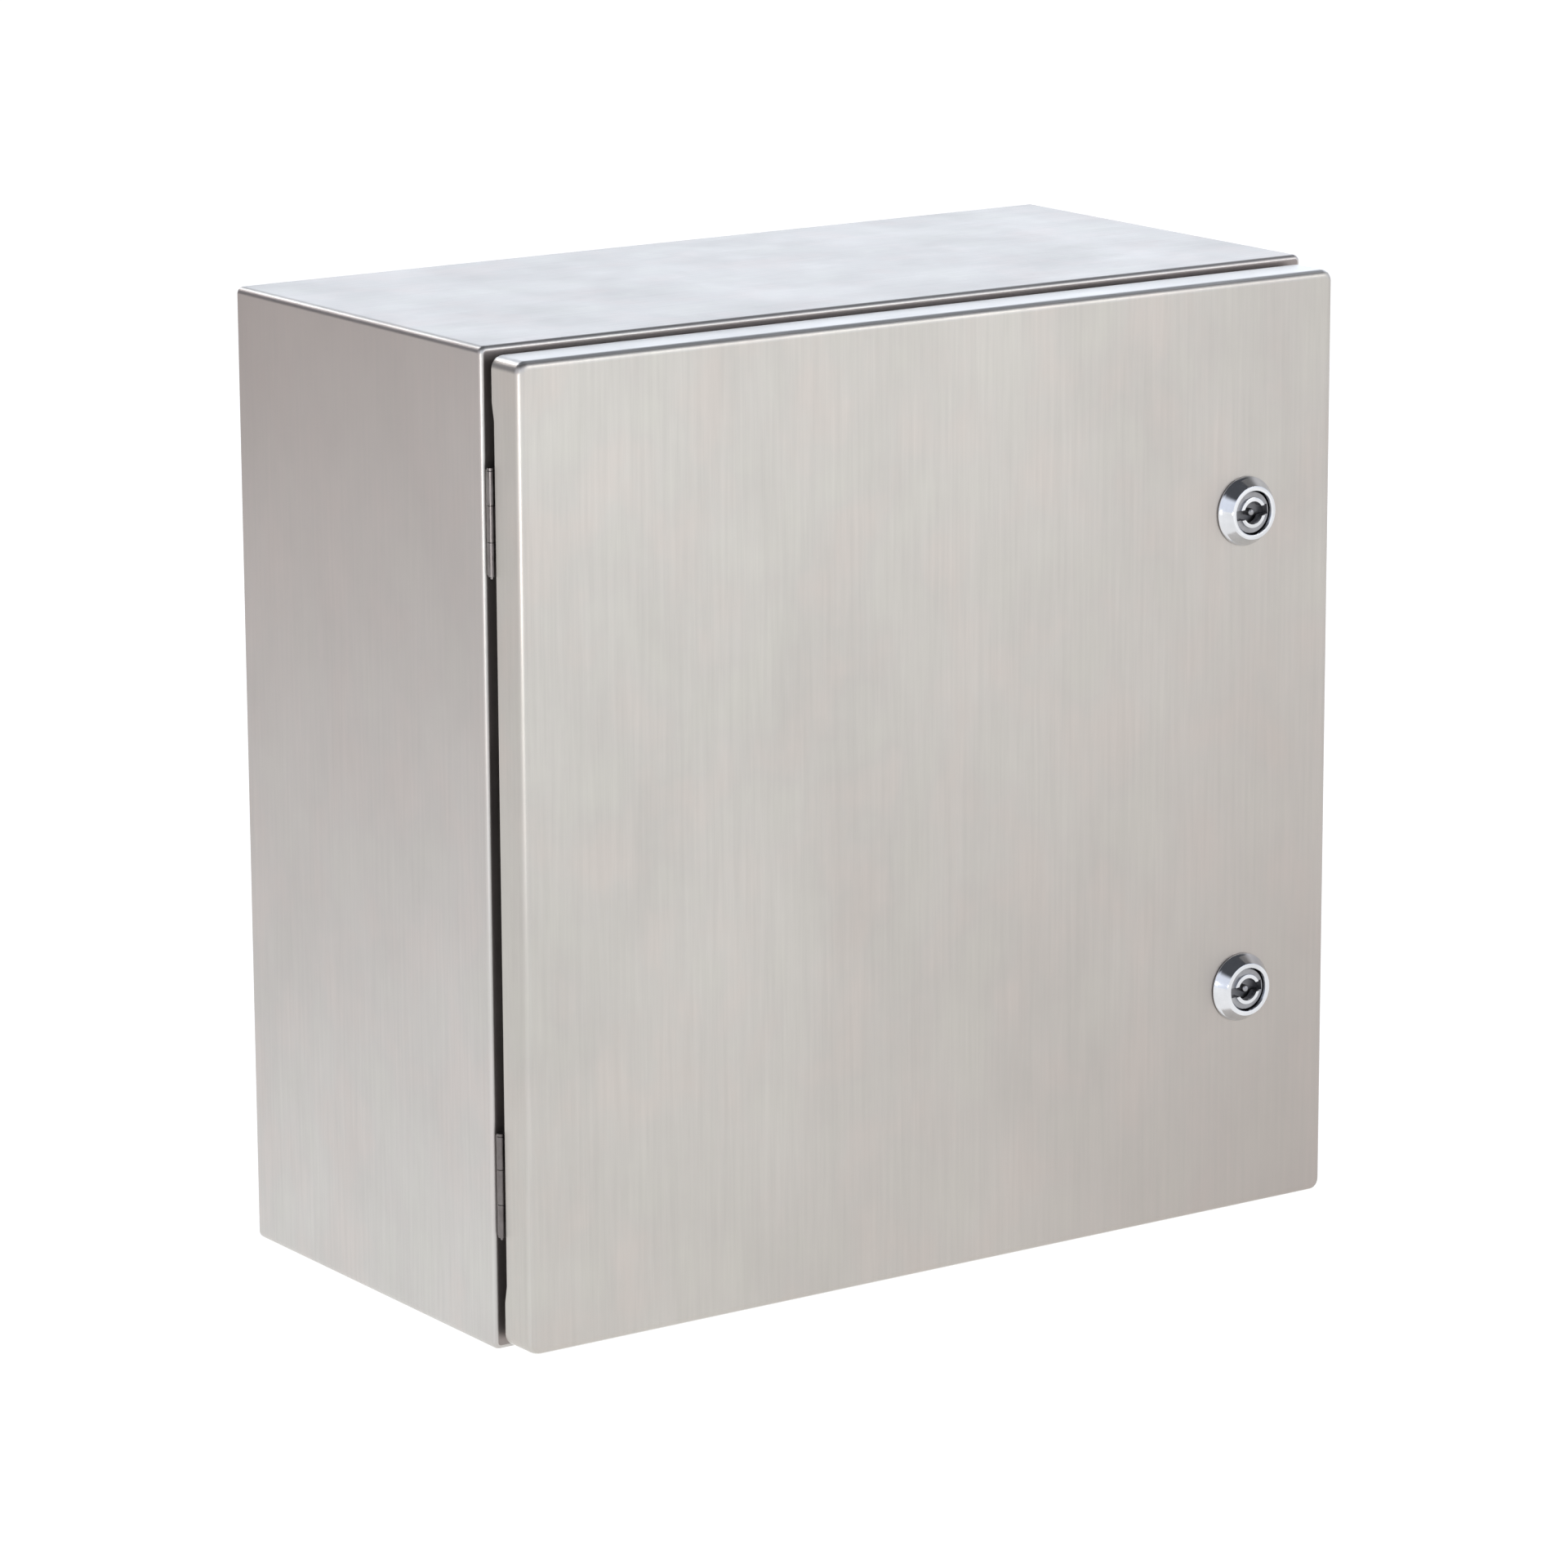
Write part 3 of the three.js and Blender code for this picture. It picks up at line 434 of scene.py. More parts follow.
def brushed_steel(name, dark, light, side_shade, roughness=0.40):
    """Ground sheet: hairlines and darker scores run up the front and the sides, and across the top and the
    floor, over a faint mottling of warmer and greener patches. Over this, painted shade darkens the sheet by
    place where the studio's light falls off; the fourth argument is how much painted shade darkens the sides
    towards their tops."""
    look = Look(name, Metallic=1.0, Anisotropic=0.25)
    normal = look.normal()
    level = look.faces_along(normal, "Z")

    def grain(across, along, **settings):
        upright = look.noise((across, across, along), **settings)
        return look.pick(level, upright, look.noise((along, across, across), **settings))

    hairs = grain(1900, 26, detail=5, rough=0.7)
    bands = grain(560, 20, detail=3)
    cloud = look.noise((11, 11, 8), detail=5, rough=0.6)
    tone = look.maths("ADD", look.spread(hairs, 0.0, 0.24), look.spread(bands, 0.0, 0.08))
    tone = look.maths("ADD", tone, look.spread(cloud, 0.09, 0.55))
    plain = look.blend(tone, dark, light)
    rosy = scaled(light, 1.0, 0.90, 0.88)
    greenish = scaled(light, 0.94, 0.98, 0.92)
    patches = look.noise((34, 34, 26), detail=3)
    mottled = look.blend(look.spread(patches, 0.26, 0.0, 0.34, 0.5), plain, rosy)
    mottled = look.blend(look.spread(patches, 0.0, 0.20, 0.5, 0.66), mottled, greenish)
    # The colour of the painted shade, which darkens the steel where the studio's light and reflections fall
    # off.
    dull = scaled(dark, 0.69, 0.61, 0.60)
    shaded_steel = look.blend(painted_shade(look, normal, side_shade), mottled, dull)
    scored = scaled(dark, 0.62, 0.62, 0.62)
    look.set("Base Color", look.blend(look.spread(bands, 0.0, 0.17), shaded_steel, scored))
    handled = look.spread(look.noise((19, 19, 15), detail=5, rough=0.62), -0.02, 0.04)
    ground = look.spread(hairs, roughness - 0.04, roughness + 0.05)
    look.set("Roughness", look.maths("ADD", ground, handled))
    upright = look.node("ShaderNodeTangent", {"direction_type": "RADIAL", "axis": "Z"}).outputs[0]
    sideways = look.node("ShaderNodeCombineXYZ", None, Y=1.0).outputs[0]
    tangent = look.node("ShaderNodeMix", {"data_type": "VECTOR"}, i0=level, i4=upright, i5=sideways)
    look.set("Tangent", tangent.outputs[1])
    look.bump(hairs, 0.008, 0.45)
    return look


def with_painted_light(look, where, color):
    """The steel's material, with another colour painted where a mask says: the painted shadow on the body's
    flange, and the painted highlight on the door's top and bottom faces.
    """
    plain = look.shader.inputs["Base Color"].links[0].from_socket
    look.set("Base Color", look.blend(where, plain, color))
    return look.material


def highlight_faces(look, amount):
    """A mask of the faces that look up or down, which get a painted highlight."""
    return look.maths("MULTIPLY", look.faces_along(look.normal(), "Z"), amount)


def flange_shadow_faces(look, amount):
    """A mask of the body's front flange and rim, which lie in the door's shadow: there a painted shadow
    darkens the colour.
    """
    forward = look.faces_along(look.normal(), "Y", 0.98)
    at_front = look.maths("LESS_THAN", look.split(look.place()).outputs["Y"], (FLANGE_Y + 10) * MM)
    return look.maths("MULTIPLY", look.maths("MULTIPLY", forward, at_front), amount)


def chrome(name):
    look = Look(name, Metallic=1.0)
    haze = look.noise((90, 90, 90), detail=4)
    look.colour(haze, (0.64, 0.65, 0.67), (0.76, 0.77, 0.79))
    look.set("Roughness", look.spread(haze, 0.05, 0.13))
    look.bump(look.noise((700, 700, 60), detail=2), 0.004, 0.4)
    return look.material


def plated(name, dark, light, roughness=0.3, cell=0.0):
    """Zinc or silver plating: cloudy, finely scratched, with crystal patches where cell is their size."""
    look = Look(name, Metallic=1.0)
    cloud = look.noise((160, 160, 160), detail=5, rough=0.6)
    tone = look.spread(cloud, 0, 1)
    if cell:
        cells = look.node("ShaderNodeTexVoronoi", None, Vector=look.place(), Scale=1000 / cell)
        grey = look.node("ShaderNodeSeparateColor", None, Color=cells.outputs["Color"]).outputs[0]
        tone = look.maths("ADD", look.maths("MULTIPLY", tone, 0.5), look.maths("MULTIPLY", grey, 0.5))
    look.set("Base Color", look.blend(tone, dark, light))
    look.set("Roughness", look.spread(tone, roughness - 0.06, roughness + 0.08, 0, 1))
    look.bump(look.noise((900, 900, 900), detail=2), 0.01, 0.4)
    return look.material


def moulded(name, dark, light, roughness=0.5, grain=0.02):
    """Moulded plastic: a fine spark-eroded texture, a slight bloom, and shinier rubbed patches."""
    look = Look(name)
    cloud = look.noise((55, 55, 55), detail=4)
    speck = look.noise((2600, 2600, 2600), detail=2)
    look.colour(cloud, dark, light)
    rubbed = look.noise((38, 38, 38), detail=5, rough=0.7)
    look.set("Roughness", look.spread(rubbed, roughness - 0.08, roughness + 0.07))
    look.bump(speck, grain, 0.8)
    return look.material


def ceramic(name):
    look = Look(name, Coat_Weight=0.35, Coat_Roughness=0.12)
    cloud = look.noise((120, 120, 120), detail=4)
    speck = look.noise((900, 900, 900), detail=1)
    body = look.blend(look.spread(cloud, 0, 1), (0.72, 0.69, 0.61), (0.86, 0.84, 0.78))
    spots = look.spread(speck, 0, 0.35, 0.66, 0.8)
    look.set("Base Color", look.blend(spots, body, (0.45, 0.41, 0.34)))
    look.set("Roughness", look.spread(cloud, 0.26, 0.38))
    look.bump(look.noise((260, 260, 260), detail=2), 0.03, 0.5)
    return look.material


def foam(name):
    look = Look(name)
    cells = look.node("ShaderNodeTexVoronoi", None, Vector=look.place(), Scale=1600.0)
    cloud = look.noise((60, 60, 60), detail=4)
    look.colour(cloud, (0.012, 0.012, 0.013), (0.03, 0.03, 0.032))
    look.set("Roughness", look.spread(cloud, 0.78, 0.92))
    look.bump(cells.outputs["Distance"], 0.12, 0.7)
    return look.material


def clear(name):
    look = Look(name, Transmission_Weight=0.92, IOR=1.58)
    haze = look.noise((45, 45, 45), detail=4)
    look.colour(haze, (0.86, 0.90, 0.91), (0.93, 0.96, 0.96))
    look.set("Roughness", look.spread(haze, 0.03, 0.12))
    look.bump(look.noise((70, 70, 70), detail=2), 0.02, 0.3)
    return look.material


def paper(name):
    look = Look(name)
    fibre = look.noise((420, 420, 420), detail=4, rough=0.7)
    look.colour(fibre, (0.70, 0.70, 0.68), (0.80, 0.80, 0.78))
    look.set("Roughness", look.spread(fibre, 0.45, 0.6))
    look.bump(fibre, 0.01, 0.4)
    return look.material


def painted_floor(name):
    look = Look(name, Emission_Color=(1.0, 1.0, 1.0), Emission_Strength=0.93)
    cloud = look.noise((1.5, 1.5, 1.5), detail=3)
    look.colour(cloud, (0.19, 0.19, 0.19), (0.21, 0.21, 0.21))
    look.set("Roughness", look.spread(cloud, 0.75, 0.85))
    return look.material


SHELL_LOOK = brushed_steel("shell_steel", (0.54, 0.523, 0.50), (0.73, 0.713, 0.685), 0.74)
# The flange and rim are painted a dark brown: a painted shadow for the door's shadow in the gap.
SHELL_STEEL = with_painted_light(SHELL_LOOK, flange_shadow_faces(SHELL_LOOK, 0.7), (0.20, 0.16, 0.15))
DOOR_LOOK = brushed_steel("door_steel", (0.515, 0.494, 0.461), (0.694, 0.671, 0.625), 0.40)
# The door's top and bottom faces are painted near white: a painted highlight for the light that falls on the
# door's top.
DOOR_STEEL = with_painted_light(DOOR_LOOK, highlight_faces(DOOR_LOOK, 0.8), (0.90, 0.90, 0.88))
CHROME = chrome("lock_chrome_plate")
ZINC = plated("bright_zinc", (0.52, 0.54, 0.56), (0.74, 0.76, 0.78))
# The hinges' steel is painted very dark: painted shade for the shadow in the gap between door and body, where
# the hinges sit.
SHADED_HINGE_STEEL = plated("hinge_steel_painted_shade", (0.14, 0.124, 0.12), (0.23, 0.21, 0.205), roughness=0.36)
LOCK_STEEL = plated("worn_lock_steel", (0.26, 0.26, 0.27), (0.38, 0.38, 0.39), roughness=0.34)
# The cup behind the keyway is painted very dark: painted shade for the shade down inside the keyway.
SHADED_KEYWAY_STEEL = plated("keyway_steel_painted_shade", (0.17, 0.17, 0.18), (0.26, 0.26, 0.27), roughness=0.42)
GALVANISED = plated("galvanised_sheet", (0.45, 0.47, 0.48), (0.66, 0.68, 0.69), roughness=0.42, cell=9)
SILVER = plated("silver_plate", (0.66, 0.64, 0.60), (0.86, 0.84, 0.80), roughness=0.24)
COPPER = plated("drawn_copper", (0.66, 0.30, 0.18), (0.76, 0.37, 0.23), roughness=0.28)
GREY_PLASTIC = moulded("grey_moulding_look", (0.34, 0.36, 0.36), (0.40, 0.42, 0.42))
DARK_PLASTIC = moulded("dark_moulding_look", (0.022, 0.023, 0.026), (0.036, 0.037, 0.041), roughness=0.46)
BLUE_PLASTIC = moulded("blue_moulding_look", (0.015, 0.075, 0.28), (0.025, 0.10, 0.36), roughness=0.42)
BLACK_PLASTIC = moulded("black_moulding_look", (0.012, 0.012, 0.013), (0.02, 0.02, 0.022), roughness=0.5)
RED_PLASTIC = moulded("indicator_red", (0.42, 0.012, 0.01), (0.55, 0.02, 0.015), roughness=0.35, grain=0.005)
CERAMIC = ceramic("fuse_ceramic_glaze")
FOAM = foam("foamed_seal")
CLEAR = clear("clear_polycarbonate")
PAPER = paper("blank_label")

# ---------------------------------------------------------------- enclosure body

BODY_CORNER = 3
BODY_EDGE = 2
BODY_HALF = (SHELL_HIGH.x, SHELL_HIGH.z)
WALL_HOLE_R = 4.5
GLAND_LAP = 15  # how far the gland plate reaches past its opening


def middle_of(node):
    """The middle of a CAD node's box, as X, Y and Z in millimetres."""
    return [(low + high) / 2 for low, high in zip(*extent(node))]


def body_shell():
    """The folded box, with its flange and rim round the front, its wall holes and its gland opening."""
    rear = fillet(BODY_EDGE, 0, -1)
    front = fillet(BODY_EDGE, FLANGE_Y, 1)
    rim_outer = FLANGE - SHEET
    rim_y = SHELL_LOW.y
    path = [(BODY_EDGE + 0.4, 0), *rear, *reversed(front), (BODY_EDGE + 0.4, FLANGE_Y)]
    path += [(rim_outer - 0.8, FLANGE_Y), (rim_outer - 0.2, FLANGE_Y - 0.2), (rim_outer, FLANGE_Y - 0.8)]
    path += [(rim_outer, rim_y + 0.4), (rim_outer + 0.15, rim_y + 0.1), (rim_outer + 0.45, rim_y)]
    path += [(FLANGE - 0.45, rim_y), (FLANGE - 0.15, rim_y + 0.1), (FLANGE, rim_y + 0.4)]
    inner_y = FLANGE_Y + SHEET
    path += [(FLANGE, inner_y - 0.6), (FLANGE - 0.6, inner_y)]
    path += [(SHEET + 1.4, inner_y), (SHEET + 0.4, inner_y + 0.4), (SHEET, inner_y + 1.4)]
    path += [(SHEET, -SHEET - 1.4), (SHEET + 0.4, -SHEET - 0.4), (SHEET + 1.4, -SHEET)]
    shell = loft("enclosure_body", [sheet_ring(*BODY_HALF, BODY_CORNER, inset, y) for inset, y in path])
    x, _, z = middle_of("wall_hole_plug_upper_right")
    holes = [drill(WALL_HOLE_R, -5, 5, sx * x, sz * z, 32) for sx in (-1, 1) for sz in (-1, 1)]
    low, high = extent("gland_plate")
    half_x, half_y = (high.x - low.x) / 2 - GLAND_LAP, (high.y - low.y) / 2 - GLAND_LAP
    outline = rectangle(half_x, half_y, (0, (low.y + high.y) / 2), 3)
    opening = plate("opening", [outline], (SHELL_LOW.z - 5, SHELL_LOW.z + 5), FACING_UP)
    shell = cut(shell, [*holes, opening])
    return add(shell, "enclosure", SHELL_STEEL, ["enclosure_shell"], angle=30)


def threaded(radius, low, high, pitch):
    """The (radius, y) points of a screw thread from low to high, root and crest in turn."""
    turns = int((high - low) / pitch)
    points = []
    for i in range(turns):
        start = low + i * pitch
        points += [(radius * 0.88, start), (radius, start + pitch * 0.35), (radius, start + pitch * 0.6)]
    return points


def gland_studs():
    """The four welded studs that hold the gland plate, which point up from the floor."""
    sheet_z, tip = SHELL_LOW.z + SHEET, SHELL_LOW.z + 13
    profile = [(0, sheet_z - 0.4), (3.3, sheet_z - 0.4), *threaded(3, sheet_z + 0.4, tip - 0.6, 1)]
    profile += [(2.3, tip), (0, tip)]
    for name in GLAND_CORNERS:
        x, y, _ = middle_of(f"gland_nut_{name}")
        add(turned_upright(f"gland_stud_{name}", profile, x, y), "enclosure", ZINC)


def plate_studs():
    """The four welded studs that carry the mounting plate, each with a collar."""
    tip = PLATE_FRONT - 10
    profile = [(0, tip), (3.2, tip), *threaded(4, tip + 0.7, PLATE_FRONT, 1.25)]
    profile += [(3.6, PLATE_FRONT + 0.1), (3.6, -13.7), (7.6, -13.7), (8, -13.3), (8, -1.9), (8.6, -1.3)]
    profile += [(0, -1.3)]
    for name in PLATE_CORNERS:
        x, _, z = middle_of(f"plate_nut_{name}")
        add(turned(f"plate_stud_{name}", profile, x, z, 40), "enclosure", ZINC)


# ---------------------------------------------------------------- door

DOOR_CORNER = 5
DOOR_EDGE = 3
DOOR_BACK_Y = DOOR_HIGH.y
DOOR_HALF = (DOOR_HIGH.x, DOOR_HIGH.z)
RELIEF_Y = DOOR_BACK_Y - 1.8  # the hinge side's rear edge is cut back to here between its corners
RELIEF_HALF_Z = 172
RELIEF_SLOPE = 9  # the length along the edge of the slope at each end of the relief
LOCK_HOLE_R = 11.25


def lock_centre(place):
    x, _, z = middle_of(f"lock_housing_{place}")
    return x, z


def door_skin():
    """The folded tray, with its lock holes and the relief for the hinges."""
    front = DOOR_LOW.y
    path = [(DOOR_EDGE + 0.4, front), *fillet(DOOR_EDGE, front, 1)]
    path += [(0, DOOR_BACK_Y - 0.4), (0.15, DOOR_BACK_Y - 0.1), (0.45, DOOR_BACK_Y)]
    path += [(SHEET - 0.45, DOOR_BACK_Y), (SHEET - 0.15, DOOR_BACK_Y - 0.1), (SHEET, DOOR_BACK_Y - 0.4)]
    path += [(SHEET, front + SHEET + 1.5), (SHEET + 0.45, front + SHEET + 0.45), (SHEET + 1.5, front + SHEET)]
    skin = loft("door_skin", [sheet_ring(*DOOR_HALF, DOOR_CORNER, inset, y) for inset, y in path])
    slope = RELIEF_SLOPE / (DOOR_BACK_Y - RELIEF_Y)
    back = DOOR_BACK_Y + 3
    wide = RELIEF_HALF_Z + slope * (back - RELIEF_Y)
    outline = [(RELIEF_Y, -RELIEF_HALF_Z), (RELIEF_Y, RELIEF_HALF_Z), (back, wide), (back, -wide)]
    relief = plate("relief", [outline], (DOOR_LOW.x - 5, DOOR_LOW.x + SHEET + 0.8), FACING_SIDE, edge=0.05)
    holes = [drill(LOCK_HOLE_R, front - 5, front + 5, *lock_centre(place)) for place in PLACES]
    skin = cut(skin, [relief, *holes])
    return add(skin, "door", DOOR_STEEL, ["door_panel"], angle=30)


def door_seal():
    """A poured foam strip, crowned, with a furrow where the body's rim presses into it."""
    low, high = extent("door_gasket")
    half_x, half_z = high.x, high.z
    section = [(0, low.y), (0, low.y + 3), (0.7, low.y + 5.6), (2.0, high.y - 0.6), (3.4, high.y)]
    section += [(4.3, high.y), (4.5, high.y - 0.5), (5.5, high.y - 0.5), (5.7, high.y), (6.6, high.y)]
    section += [(8.0, high.y - 0.6), (9.3, low.y + 5.6), (10, low.y + 3), (10, low.y)]
    rings = [sheet_ring(half_x, half_z, 12, inset, y) for inset, y in section]
    add(loft("door_seal", rings, cyclic=True), "door", FOAM, ["door_gasket"], angle=50)


# ---------------------------------------------------------------- locks

LOCK_FACE = extent("lock_housing_upper")[0].y
COLLAR_BACK = -210.3  # the collar's seat on the door
KEYWAY_TILT = math.radians(6)
KEYWAY_HOLE_R = 4.8
KEYWAY_WING = 2.1  # half its width
KEYWAY_REACH = 7.9


def keyway(x, z):
    """The outline of a round hole with a wing on each side."""
    hole, wing, reach = KEYWAY_HOLE_R, KEYWAY_WING, KEYWAY_REACH
    meet = math.degrees(math.asin(wing / hole))
    points = arc((0, 0), hole, meet, 180 - meet, 20) + [(-reach, wing), (-reach, -wing)]
    points += arc((0, 0), hole, 180 + meet, 360 - meet, 20) + [(reach, -wing), (reach, wing)]
    cos, sin = math.cos(KEYWAY_TILT), math.sin(KEYWAY_TILT)
    return [(x + u * cos - v * sin, z + u * sin + v * cos) for u, v in points]


def keyed(name, profile, x, z, face):
    """A turned piece with the keyway cut through it, from in front of the face."""
    tool = plate("keyway", [keyway(x, z)], (face - 2, face + 8), edge=0.02)
    return cut(turned(name, profile, x, z, 96), [tool])


def lock(place):
    """The collar with its threaded neck, and the barrel: a dull face, a bright ring, a cup behind the keyway,
    the keyway's pin, and the spindle with the square that carries the cam."""
    x, z = lock_centre(place)
    face, seat = LOCK_FACE, COLLAR_BACK
    back = extent(f"lock_housing_{place}")[1].y
    profile = [(9.15, face + 0.35), (9.3, face + 0.08), (9.5, face), (10.75, face), (11.1, face + 0.12)]
    profile += [(11.35, face + 0.45), (13.55, seat - 1.75), (13.95, seat - 1.3), (14.2, seat - 0.95)]
    profile += [(14.4, seat - 0.6), (14.4, seat - 0.15), (14.2, seat), (10.9, seat)]
    profile += [*threaded(10.9, seat + 1.2, back - 0.8, 1.5), (10.2, back), (5, back), (5, back - 2)]
    profile += [(9.15, back - 2)]
    housing = turned(f"lock_collar_{place}", profile, x, z, 96)
    add(housing, "door", CHROME, [f"lock_housing_{place}"], angle=28)

    insert_face = face + 0.45
    groove = insert_face + 1.1
    rear = insert_face + 4
    body = f"lock_barrel_{place}"
    disc = [(0, groove), (8.4, groove), (8.75, groove + 0.35), (8.75, rear), (0, rear)]
    barrel_face = keyed(f"lock_face_{place}", disc, x, z, insert_face)
    add(barrel_face, body, LOCK_STEEL, [f"lock_insert_{place}"])
    rim = [(0, insert_face), (6.0, insert_face), (6.3, insert_face + 0.12), (6.45, insert_face + 0.4)]
    rim += [(6.45, groove + 0.1), (0, groove + 0.1)]
    add(keyed(f"lock_ring_{place}", rim, x, z, insert_face), body, CHROME)
    floor_y = insert_face + 5.4
    cup = [(0, insert_face + 12), (8.6, insert_face + 12), (8.6, rear + 0.1), (8.1, rear + 0.1)]
    cup += [(8.1, floor_y), (0, floor_y)]
    add(turned(f"lock_cup_{place}", cup, x, z, 48), body, SHADED_KEYWAY_STEEL)
    pin = [(0, floor_y + 0.2), (1.6, floor_y + 0.2), (1.6, insert_face + 1.9), (1.35, insert_face + 1.4)]
    pin += [(0.8, insert_face + 1.05), (0, insert_face + 0.95)]
    add(turned(f"lock_pin_{place}", pin, x, z, 48), body, LOCK_STEEL)
    tail = extent(f"lock_insert_{place}")[1].y
    neck = [(0, insert_face + 12.1), (8.6, insert_face + 12.1), (8.6, seat + 18.6), (8.2, seat + 19)]
    neck += [(4.7, seat + 19), (4.7, tail - 4.5), (0, tail - 4.5)]
    add(turned(f"lock_spindle_{place}", neck, x, z, 48), body, ZINC)
    square = bar(f"lock_square_{place}", (x - 4, x + 4), (tail - 4.4, tail), (z - 4, z + 4), 0.4)
    add(square, body, ZINC)


# ---------------------------------------------------------------- carried-over hardware


def carried_over():
    """The CAD pieces whose shape is right: they get a material and rounded edges."""
    for name in PLATE_CORNERS:
        keep(f"plate_nut_{name}", ZINC, 0.4)
        keep(f"wall_hole_plug_{name}", BLACK_PLASTIC, 0.5)
    for name in GLAND_CORNERS:
        keep(f"gland_nut_{name}", ZINC, 0.4)
    for place in PLACES:
        for node in ("body_hinge_leaf", "door_hinge_leaf", "hinge_pin"):
            keep(f"{node}_{place}", SHADED_HINGE_STEEL, 0.2)
        for node in ("lock_nut", "lock_cam", "cam_screw"):
            keep(f"{node}_{place}", ZINC, 0.25)
    for pole in POLES:
        for end in ("line", "load"):
            keep(f"contact_{pole}_{end}", SILVER, 0.3)
            keep(f"terminal_bolt_{pole}_{end}", ZINC, 0.3)
    keep("mounting_plate", GALVANISED, 0.4)
    keep("gland_plate", SHELL_STEEL, 0.4)
    keep("gland_gasket", FOAM, 0.3)
    keep("earth_bar", COPPER, 0.5)
    keep("neutral_bar", COPPER, 0.5)
    keep("neutral_insulator", BLUE_PLASTIC, 0.8)
    keep("switch_base", DARK_PLASTIC, 0.7)
    keep("carrier_window", CLEAR, 0.4)


# ---------------------------------------------------------------- fuse switch

SWITCH_Z = middle_of("switch_base")[2]
POLE_PITCH = 33
RIB_PITCH = 25


def pole_x(pole):
    return (POLES.index(pole) - 1) * POLE_PITCH


def ahead(depth):
    """The Y of a depth measured forward from the mounting plate's face."""
    return PLATE_FRONT - depth


def base_ribs():
    """Stiffening ribs moulded on the outside of the base's two side walls."""
    for side, name in ((-1, "left"), (1, "right")):
        for i in range(6):
            z = SWITCH_Z - 62 + i * RIB_PITCH
            x = sorted((side * 52.6, side * 53.6))
            rib = bar(f"base_rib_{name}_{i + 1}", x, (ahead(54), ahead(3)), (z, z + 3), 0.45)
            add(rib, "enclosure", DARK_PLASTIC)


def terminal_cover(end, side):
    """A clip-on cover over three terminals, with a collared test hole for each and a ribbed finger grip."""
    front, back = ahead(57.7), ahead(55)
    z = SWITCH_Z + side * 69.15
    test_z = SWITCH_Z + side * 60
    holes = [circle(4, (pole_x(pole), test_z), 40) for pole in POLES]
    face = plate(f"cover_{end}", [rectangle(49.6, 15.55, (0, z), 2.5), *holes], (front, back), edge=0.5)
    add(face, "enclosure", GREY_PLASTIC, [f"terminal_cover_{end}"])
    for pole in POLES:
        ring = [(4.0, front + 0.5), (4.0, front - 0.5), (4.3, front - 0.8), (5.3, front - 0.8)]
        ring += [(5.7, front - 0.4), (5.7, front + 0.5)]
        collar = turned(f"test_collar_{end}_{pole}", ring, pole_x(pole), test_z, 48)
        add(collar, "enclosure", GREY_PLASTIC)
    for i in range(4):
        near = SWITCH_Z + side * 75 + side * i * 2.4
        rib_z = sorted((near, near + side * 1.2))
        rib = bar(f"cover_grip_{end}_{i + 1}", (-16, 16), (front - 0.8, front + 0.3), rib_z, 0.4)
        add(rib, "enclosure", GREY_PLASTIC)


